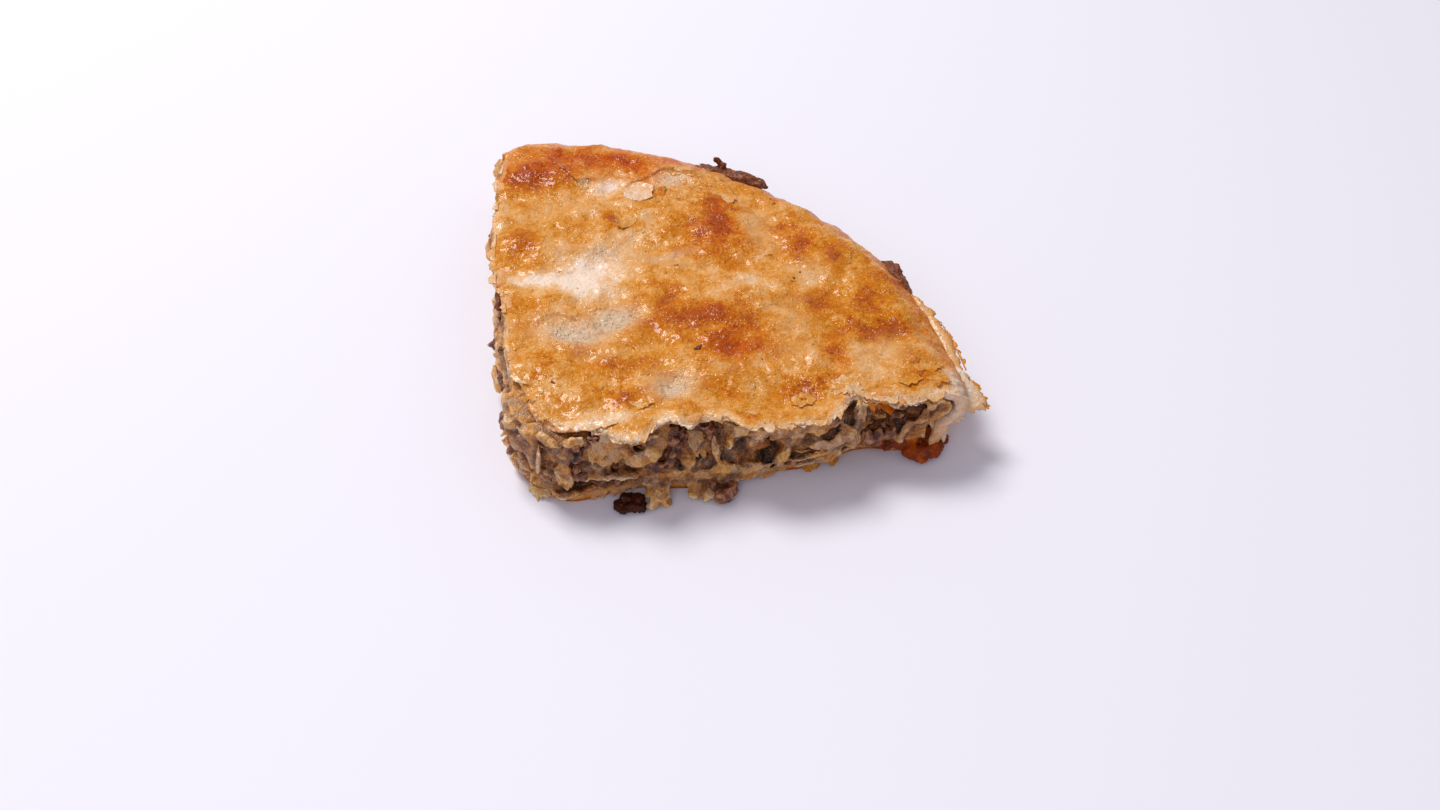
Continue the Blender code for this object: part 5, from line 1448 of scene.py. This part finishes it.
def scatter_tree(name, shapes, mask, material):
    """Geometry nodes that set a few shapes over a surface, closer where a painted mask is high."""
    tree = bpy.data.node_groups.new(name, "GeometryNodeTree")
    node = partial(add, tree)
    sockets = {
        label: tree.interface.new_socket(label, in_out="INPUT", socket_type=f"NodeSocket{kind}")
        for label, kind in (
            ("Surface", "Geometry"), ("Per square metre", "Float"), ("Smallest", "Float"),
            ("Largest", "Float"), ("Lean", "Float"), ("Seed", "Int"),
        )
    }
    tree.interface.new_socket("Pieces", in_out="OUTPUT", socket_type="NodeSocketGeometry")
    given = node("NodeGroupInput").outputs
    seed = {"Seed": given["Seed"]}
    painted = node("GeometryNodeInputNamedAttribute", {"Name": mask}, data_type="FLOAT")
    density = node("ShaderNodeMath", {0: painted, 1: given["Per square metre"]}, operation="MULTIPLY")
    points = node(
        "GeometryNodeDistributePointsOnFaces", {"Mesh": given["Surface"], "Density": density, **seed}
    )
    kinds = node("GeometryNodeCollectionInfo", {
        "Collection": shapes, "Separate Children": True, "Reset Children": True,
    })
    size = node(
        "FunctionNodeRandomValue", {2: given["Smallest"], 3: given["Largest"], **seed}, data_type="FLOAT"
    )
    lean = node("ShaderNodeMath", {0: given["Lean"], 1: -1.0}, operation="MULTIPLY")
    low = node("ShaderNodeCombineXYZ", {"X": lean, "Y": lean, "Z": -3.14})
    high = node("ShaderNodeCombineXYZ", {"X": given["Lean"], "Y": given["Lean"], "Z": 3.14})
    spin = node("FunctionNodeRandomValue", {0: low, 1: high, **seed}, data_type="FLOAT_VECTOR")
    leaning = node(
        "FunctionNodeRotateRotation", {"Rotation": points.outputs["Rotation"], "Rotate By": spin},
        rotation_space="LOCAL",
    )
    placed = node("GeometryNodeInstanceOnPoints", {
        "Points": points, "Instance": kinds, "Pick Instance": True, "Rotation": leaning, "Scale": size,
    })
    real = node("GeometryNodeRealizeInstances", {"Geometry": placed})
    smooth = node("GeometryNodeSetShadeSmooth", {"Geometry": real})
    skin = node("GeometryNodeSetMaterial", {"Geometry": smooth, "Material": material})
    node("NodeGroupOutput", {"Pieces": skin})
    return tree, sockets


def scatter(name, surface, shapes, mask, material, values):
    """Small shapes over a piece, as one plain mesh."""
    tree, sockets = scatter_tree(name, shapes, mask, material)
    carrier = shown(f"{name}_carrier", surface.data.copy())
    modifier = carrier.modifiers.new(name, "NODES")
    modifier.node_group = tree
    for label, value in values.items():
        modifier[sockets[label].identifier] = value
    piece = flattened(carrier, name)
    bpy.data.node_groups.remove(tree)
    return dress(piece, material)


def shape_set(name, count, flatness, rough, sink):
    """A few variants of one small shape, a millimetre in radius, in a collection of their own."""
    group = bpy.data.collections.new(name)
    for k in range(count):
        points, faces = ball(1)
        swelling = 1 + rough * grain(points, 0.7, k * 5.0 + 1.0)
        # Each variant is longer or shorter, and all are low.
        stretch = (1.0 + 0.25 * math.sin(k * 2.1), 0.85, flatness)
        points = points * swelling[:, None] * stretch - (0.0, 0.0, sink)
        mesh = bpy.data.meshes.new(f"{name}_{k}")
        mesh.from_pydata((points * MM).tolist(), [], faces)
        group.objects.link(bpy.data.objects.new(f"{name}_{k}", mesh))
    return group


def drop_shapes(group):
    """Removes a set of shapes once it is used."""
    for shape in list(group.objects):
        bpy.data.objects.remove(shape)
    bpy.data.collections.remove(group)


# ---------------------------------------------------------------- materials


def started(name, *painted):
    """A new material: itself, its tree, the place in the piece and what is painted on the piece."""
    material = bpy.data.materials.new(name)
    material.use_nodes = True
    tree = material.node_tree
    place = add(tree, "ShaderNodeTexCoord").outputs["Object"]
    shares = [add(tree, "ShaderNodeAttribute", attribute_name=label).outputs["Fac"] for label in painted]
    return material, tree, place, *shares


def finished(material, inputs):
    """The material with its shader fed."""
    feed(material.node_tree, material.node_tree.nodes["Principled BSDF"], inputs)
    return material


def between(value, low, high, start, end):
    """Inputs for a range that turns low to high into start to end."""
    return {"Value": value, "From Min": low, "From Max": high, "To Min": start, "To Max": end}


def ramp_stops(ramp, *codes):
    """Spreads colours evenly over a colour ramp, from its lowest level to its highest."""
    elements = ramp.color_ramp.elements
    while len(elements) < len(codes):
        elements.new(0.5)
    for k, code in enumerate(codes):
        elements[k].position = k / (len(codes) - 1)
        elements[k].color = linear(code)


def coated(tree, colour, *coats):
    """Colours laid over one another: what covers, how much of it at most, and its colour."""
    for share, strength, over in coats:
        if strength < 1:
            share = add(tree, "ShaderNodeMath", {0: share, 1: strength}, operation="MULTIPLY")
        colour = add(tree, "ShaderNodeMix", {"Factor": share, 6: colour, 7: over}, data_type="RGBA")
    return colour


def baked_leaf():
    """Baked flour-and-water leaf brushed with fat: matt crumb under an uneven film of oil, so it is
    golden to red-brown with small soft glints. Egg-free dough browns in patches."""
    leaf, tree, place, brown, ruddy, glassy, thin, gap, dark, wrinkled = started(
        "baked_filo_leaf", "browning", "ruddy", "glassy", "thin", "tear_gap", "tear_dark", "wrinkled"
    )
    node = partial(add, tree)
    # Blotches of about 1.2 mm, specks of about 0.5 mm and zones of about 7 mm.
    blotch = node("ShaderNodeTexNoise", {"Vector": place, "Scale": 800.0, "Detail": 4.0})
    speck = node("ShaderNodeTexNoise", {"Vector": place, "Scale": 2100.0, "Detail": 2.0})
    zone = node("ShaderNodeTexNoise", {"Vector": place, "Scale": 150.0, "Detail": 2.0})
    # Pinhead blisters, about 1.1 mm apart, paler than the leaf round them: partly their own dried
    # colour and partly a painted highlight for the glint on each.
    dots = node("ShaderNodeTexVoronoi", {"Vector": place, "Scale": 900.0})
    dome = node("ShaderNodeMapRange", between(dots, 0.08, 0.36, 1.0, 0.0))
    there = node("ShaderNodeMapRange", between(zone, 0.42, 0.6, 0.1, 1.0))
    raised = node("ShaderNodeMath", {0: dome, 1: there}, operation="MULTIPLY")
    level = node("ShaderNodeMath", {0: brown, 1: -0.41}, operation="ADD")
    for pattern, share in ((blotch, 0.36), (speck, 0.46), (raised, -0.13)):
        level = node("ShaderNodeMath", {0: pattern, 1: share, 2: level}, operation="MULTIPLY_ADD")
    golden, red = (node("ShaderNodeValToRGB", {"Fac": level}) for _ in range(2))
    ramp_stops(golden, "F3DBC8", "EAC29B", "E3AD73", "DB9849", "CD7D0A", "BE6400", "A14300")
    ramp_stops(red, "F3D7C8", "EABB9B", "E3A273", "DB8A49", "CD6D0A", "BE5000", "A12B00")
    # A thin line along each tear is painted dark, as the shade in the crack.
    away = node("ShaderNodeMath", {0: gap}, operation="ABSOLUTE")
    near = node("ShaderNodeMapRange", between(away, 0.12, 0.42, 0.9, 0.0))
    crack = node("ShaderNodeMath", {0: near, 1: dark}, operation="MULTIPLY")
    # Red-brown over gold, khaki where it is thin, grey where it is glassy, pale points that are partly
    # dried small blisters and partly painted glints, and painted shade along the tears.
    colour = coated(
        tree, golden, (ruddy, 1.0, red), (thin, 0.75, linear("D0985C")), (glassy, 1.0, linear("DDBE9E")),
        (raised, 0.45, linear("F7D6A6")), (crack, 1.0, linear("7E4216")),
    )
    gloss = node("ShaderNodeMapRange", between(zone, 0.35, 0.65, 0.5, 0.28))
    sleek = node("ShaderNodeMath", {0: glassy, 1: -0.16, 2: gloss}, operation="MULTIPLY_ADD")
    # Creases of about 2 mm where the top leaf has puffed up and sunk back wet, and low oily domes
    # about 1.6 mm apart that catch the light on their near sides.
    crease = node("ShaderNodeTexNoise", {"Vector": place, "Scale": 430.0, "Detail": 3.0, "Distortion": 1.2})
    folded = node("ShaderNodeMath", {0: crease, 1: wrinkled}, operation="MULTIPLY")
    beads = node("ShaderNodeTexVoronoi", {"Vector": place, "Scale": 620.0})
    swollen = node("ShaderNodeMapRange", between(beads, 0.04, 0.40, 1.0, 0.0))
    relief = node("ShaderNodeBump", {"Height": folded, "Strength": 0.8, "Distance": 0.0022})
    for height, strength, distance in ((swollen, 0.9, 0.0002), (raised, 0.8, 0.00014)):
        inputs = {"Height": height, "Strength": strength, "Distance": distance, "Normal": relief}
        relief = node("ShaderNodeBump", inputs)
    matt = relief
    for height, distance in ((blotch, 0.0008), (speck, 0.0004)):
        inputs = {"Height": height, "Strength": 0.7, "Distance": distance, "Normal": matt}
        matt = node("ShaderNodeBump", inputs)
    return finished(leaf, {
        "Base Color": colour, "Roughness": sleek, "IOR": 1.45, "Specular IOR Level": 0.02,
        "Coat Weight": 0.42, "Coat Roughness": 0.13, "Coat Normal": relief, "Normal": matt,
        "Subsurface Weight": 0.12, "Subsurface Radius": (1.0, 0.5, 0.22), "Subsurface Scale": 0.0022,
    })


def boiled_dough():
    """Dough that cooked in the juice of the meat: soft, wet and slightly see-through. It is cream
    where it is torn, greyer where it is thick and wet, and brown where the juice soaked in. Its
    crests are painted lighter and its hollows and pores darker, as painted shade; some hollows are
    also painted brown as shade."""
    dough, tree, place, stand, stain, fat, wet = started("boiled_dough", "stand_out", "stain", "fat", "wet")
    node = partial(add, tree)
    # Crumb of about 1.5 mm, pores about 0.9 mm apart, and soaked zones of about 5 mm.
    crumb = node("ShaderNodeTexNoise", {"Vector": place, "Scale": 650.0, "Detail": 5.0, "Roughness": 0.65})
    pore = node("ShaderNodeTexVoronoi", {"Vector": place, "Scale": 1100.0})
    zone = node("ShaderNodeTexNoise", {"Vector": place, "Scale": 200.0, "Detail": 4.0})
    # The middles of the pores are painted darker, as painted shade.
    hole = node("ShaderNodeMapRange", between(pore, 0.0, 0.3, -0.42, -0.3))
    rough = node("ShaderNodeMath", {0: crumb, 1: 0.6, 2: stand}, operation="MULTIPLY_ADD")
    level = node("ShaderNodeMath", {0: rough, 1: hole}, operation="ADD")
    cream, grey, brown = (node("ShaderNodeValToRGB", {"Fac": level}) for _ in range(3))
    ramp_stops(cream, "361402", "84480E", "C0803A", "E6AC5C", "F8DAA0")
    ramp_stops(grey, "2A1610", "6E4E36", "A48264", "CCAC8A", "EEDAC0")
    ramp_stops(brown, "1C0700", "501F04", "884414", "B66E2C", "DA9E56")
    greyed = node("ShaderNodeMapRange", between(zone, 0.44, 0.56, 0.0, 0.85))
    colour = coated(tree, cream, (greyed, 1.0, grey), (stain, 1.0, brown), (fat, 0.75, linear("B8661C")))
    damp = node("ShaderNodeMath", {0: wet, 1: 0.6, 2: greyed}, operation="MULTIPLY_ADD")
    gloss = node("ShaderNodeMapRange", between(damp, 0.0, 1.0, 0.55, 0.2))
    relief = node("ShaderNodeBump", {"Height": crumb, "Strength": 0.6, "Distance": 0.001})
    relief = node("ShaderNodeBump", {"Height": pore, "Strength": 0.8, "Distance": 0.0006, "Normal": relief})
    return finished(dough, {
        "Base Color": colour, "Roughness": gloss, "IOR": 1.42, "Coat Weight": 0.3, "Coat Roughness": 0.08,
        "Coat Normal": relief, "Normal": relief, "Subsurface Weight": 0.3,
        "Subsurface Radius": (1.0, 0.6, 0.3), "Subsurface Scale": 0.002,
    })


def fried_meat():
    """Minced beef fried through: grey-brown to purple-brown grains with a film of fat."""
    meat, tree, place, tone, pink = started("fried_minced_meat", "tone", "pink")
    node = partial(add, tree)
    # Fibres and grains of about 0.8 mm.
    grains = node("ShaderNodeTexNoise", {"Vector": place, "Scale": 1250.0, "Detail": 3.0})
    # The painted tone is lighter on crests and darker in hollows, which is painted shade.
    low = node("ShaderNodeMath", {0: tone, 1: -0.45}, operation="ADD")
    level = node("ShaderNodeMath", {0: grains, 1: 0.9, 2: low}, operation="MULTIPLY_ADD")
    dark, rosy = (node("ShaderNodeValToRGB", {"Fac": level}) for _ in range(2))
    ramp_stops(dark, "180800", "3A1808", "5E3016", "844C28", "B07A48")
    ramp_stops(rosy, "220C04", "4C2214", "784028", "A06644", "C29066")
    relief = node("ShaderNodeBump", {"Height": grains, "Strength": 0.8, "Distance": 0.0007})
    return finished(meat, {
        "Base Color": coated(tree, dark, (pink, 1.0, rosy)), "Roughness": 0.42, "IOR": 1.42,
        "Coat Weight": 0.35, "Coat Roughness": 0.16, "Coat Normal": relief, "Normal": relief,
        "Subsurface Weight": 0.08, "Subsurface Radius": (1.0, 0.35, 0.25), "Subsurface Scale": 0.0012,
    })


def burnt_crust():
    """Filling burnt nearly black: brittle, dark red-brown, with a dull sheen of fat."""
    burnt, tree, place = started("burnt_filling_crust")
    # Blisters of about 1 mm.
    blister = add(tree, "ShaderNodeTexNoise", {"Vector": place, "Scale": 900.0, "Detail": 3.0})
    colour = add(tree, "ShaderNodeValToRGB", {"Fac": blister})
    ramp_stops(colour, "200C07", "46200F", "753A1C", "A05E30", "C48C54")
    relief = add(tree, "ShaderNodeBump", {"Height": blister, "Strength": 0.8, "Distance": 0.0008})
    return finished(burnt, {
        "Base Color": colour, "Roughness": 0.5, "Specular IOR Level": 0.3, "Coat Weight": 0.12,
        "Coat Roughness": 0.15, "Normal": relief,
    })


def caramelised_juice():
    """Meat juice and flour set to a glossy orange-brown glaze, clear enough to glow at its edges,
    and nearly black where it has scorched and on a dark lump that stands in for shade."""
    juice, tree, place, scorched = started("caramelised_juice", "scorched")
    # Clouds of about 4 mm and grit of about 1 mm.
    cloud = add(tree, "ShaderNodeTexNoise", {"Vector": place, "Scale": 260.0, "Detail": 3.0})
    grit = add(tree, "ShaderNodeTexNoise", {"Vector": place, "Scale": 1000.0, "Detail": 2.0})
    glaze = add(tree, "ShaderNodeValToRGB", {"Fac": cloud})
    ramp_stops(glaze, "2E0C00", "541A00", "8C3400", "C05C00", "EC9C1C")
    relief = add(tree, "ShaderNodeBump", {"Height": grit, "Strength": 0.6, "Distance": 0.0008})
    return finished(juice, {
        "Base Color": coated(tree, glaze, (scorched, 0.86, linear("240A06"))), "Roughness": 0.35,
        "Specular IOR Level": 0.0, "Coat Weight": 0.4, "Coat Roughness": 0.04, "Coat Normal": relief,
        "Normal": relief, "Subsurface Weight": 0.2, "Subsurface Radius": (1.0, 0.35, 0.1),
        "Subsurface Scale": 0.003,
    })


# ---------------------------------------------------------------- the studio

# Place in plan millimetres, angles in degrees, lens and sensor in millimetres.
CAMERA_PLACE = (2.828, -314.365, 364.025)
CAMERA_AZIMUTH, CAMERA_HEIGHT, CAMERA_ROLL = -11.17, 45.5, 1.33
CAMERA_LENS, CAMERA_SENSOR = 32.85, 36.0


def make_camera():
    """The camera where the photograph was taken from."""
    azimuth, height, roll = (math.radians(a) for a in (CAMERA_AZIMUTH, CAMERA_HEIGHT, CAMERA_ROLL))
    back = Vector((
        math.sin(azimuth) * math.cos(height), -math.cos(azimuth) * math.cos(height), math.sin(height)
    ))
    level = Vector((0, 0, 1)).cross(back).normalized()
    upright = back.cross(level)
    right = level * math.cos(roll) + upright * math.sin(roll)
    up = upright * math.cos(roll) - level * math.sin(roll)
    data = bpy.data.cameras.new("camera")
    data.lens = CAMERA_LENS
    data.sensor_width = CAMERA_SENSOR
    data.clip_start = 0.01
    camera = shown("camera", data)
    x, y, z = CAMERA_PLACE
    camera.matrix_world = Matrix.Translation(
        Vector((x - MIDDLE[0], y - MIDDLE[1], z)) * MM
    ) @ Matrix((right, up, back)).transposed().to_4x4()
    bpy.context.scene.camera = camera


def make_light(name, place, aim, size, power, colour):
    """A soft square light that looks at a point, in metres."""
    data = bpy.data.lights.new(name, "AREA")
    data.size = size
    data.energy = power
    data.color = linear(colour)[:3]
    light = shown(name, data)
    light.location = place
    light.rotation_euler = (Vector(aim) - Vector(place)).to_track_quat("-Z", "Y").to_euler()


def make_studio():
    """A plain pale floor, soft light from above and behind, and a weak fill."""
    mesh = bpy.data.meshes.new("floor")
    far = 3.0
    mesh.from_pydata([(-far, -far, 0), (far, -far, 0), (far, far, 0), (-far, far, 0)], [], [(0, 1, 2, 3)])
    floor = shown("floor", mesh)
    # Matt off-white paper, so the piece stands on a plain pale ground.
    paper = bpy.data.materials.new("matt_paper")
    paper.use_nodes = True
    mesh.materials.append(finished(paper, {"Base Color": linear("E9E7F1"), "Roughness": 0.9}))
    world = bpy.data.worlds.new("studio")
    world.use_nodes = True
    sky = world.node_tree.nodes["Background"]
    feed(world.node_tree, sky, {"Color": linear("F1EFFA"), "Strength": 0.42})
    bpy.context.scene.world = world
    make_light("key", (-0.76, 1.0, 2.0), (0, 0, 0), 0.85, 46.0, "FFFDF8")
    make_light("fill", (-0.4, -0.9, 0.8), (0, 0, 0), 0.7, 2.4, "F4F2FF")
    bpy.context.scene.view_settings.view_transform = "Standard"


def main():
    """Every piece, each riding on the one body, then the studio round them."""
    leaf, boiled, burnt = baked_leaf(), boiled_dough(), burnt_crust()
    crust = make_crust(leaf)
    corners, faces = crust.data.vertices, crust.data.polygons
    shape = BVHTree.FromPolygons([v.co for v in corners], [f.vertices for f in faces])
    dough = make_dough(boiled)
    pieces = [crust, dough, make_core(boiled), make_meat(fried_meat())]
    pieces += [make_flakes(shape, leaf), make_leaves(leaf), make_shreds(boiled), *make_burnt(shape, burnt)]
    pieces.append(make_caramel(caramelised_juice()))
    bubbles = shape_set("bubble", count=4, flatness=0.55, rough=0.25, sink=0.25)
    pieces.append(scatter(
        "crust_bubbles", crust, bubbles, "blistered", leaf,
        {"Per square metre": 6.0e4, "Smallest": 0.35, "Largest": 0.95, "Lean": 0.1, "Seed": BUBBLE_SEED},
    ))
    drop_shapes(bubbles)
    for piece in pieces:
        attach(piece, BODY)
    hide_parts("pastry")
    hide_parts("meat_filling")
    make_studio()
    make_camera()


main()
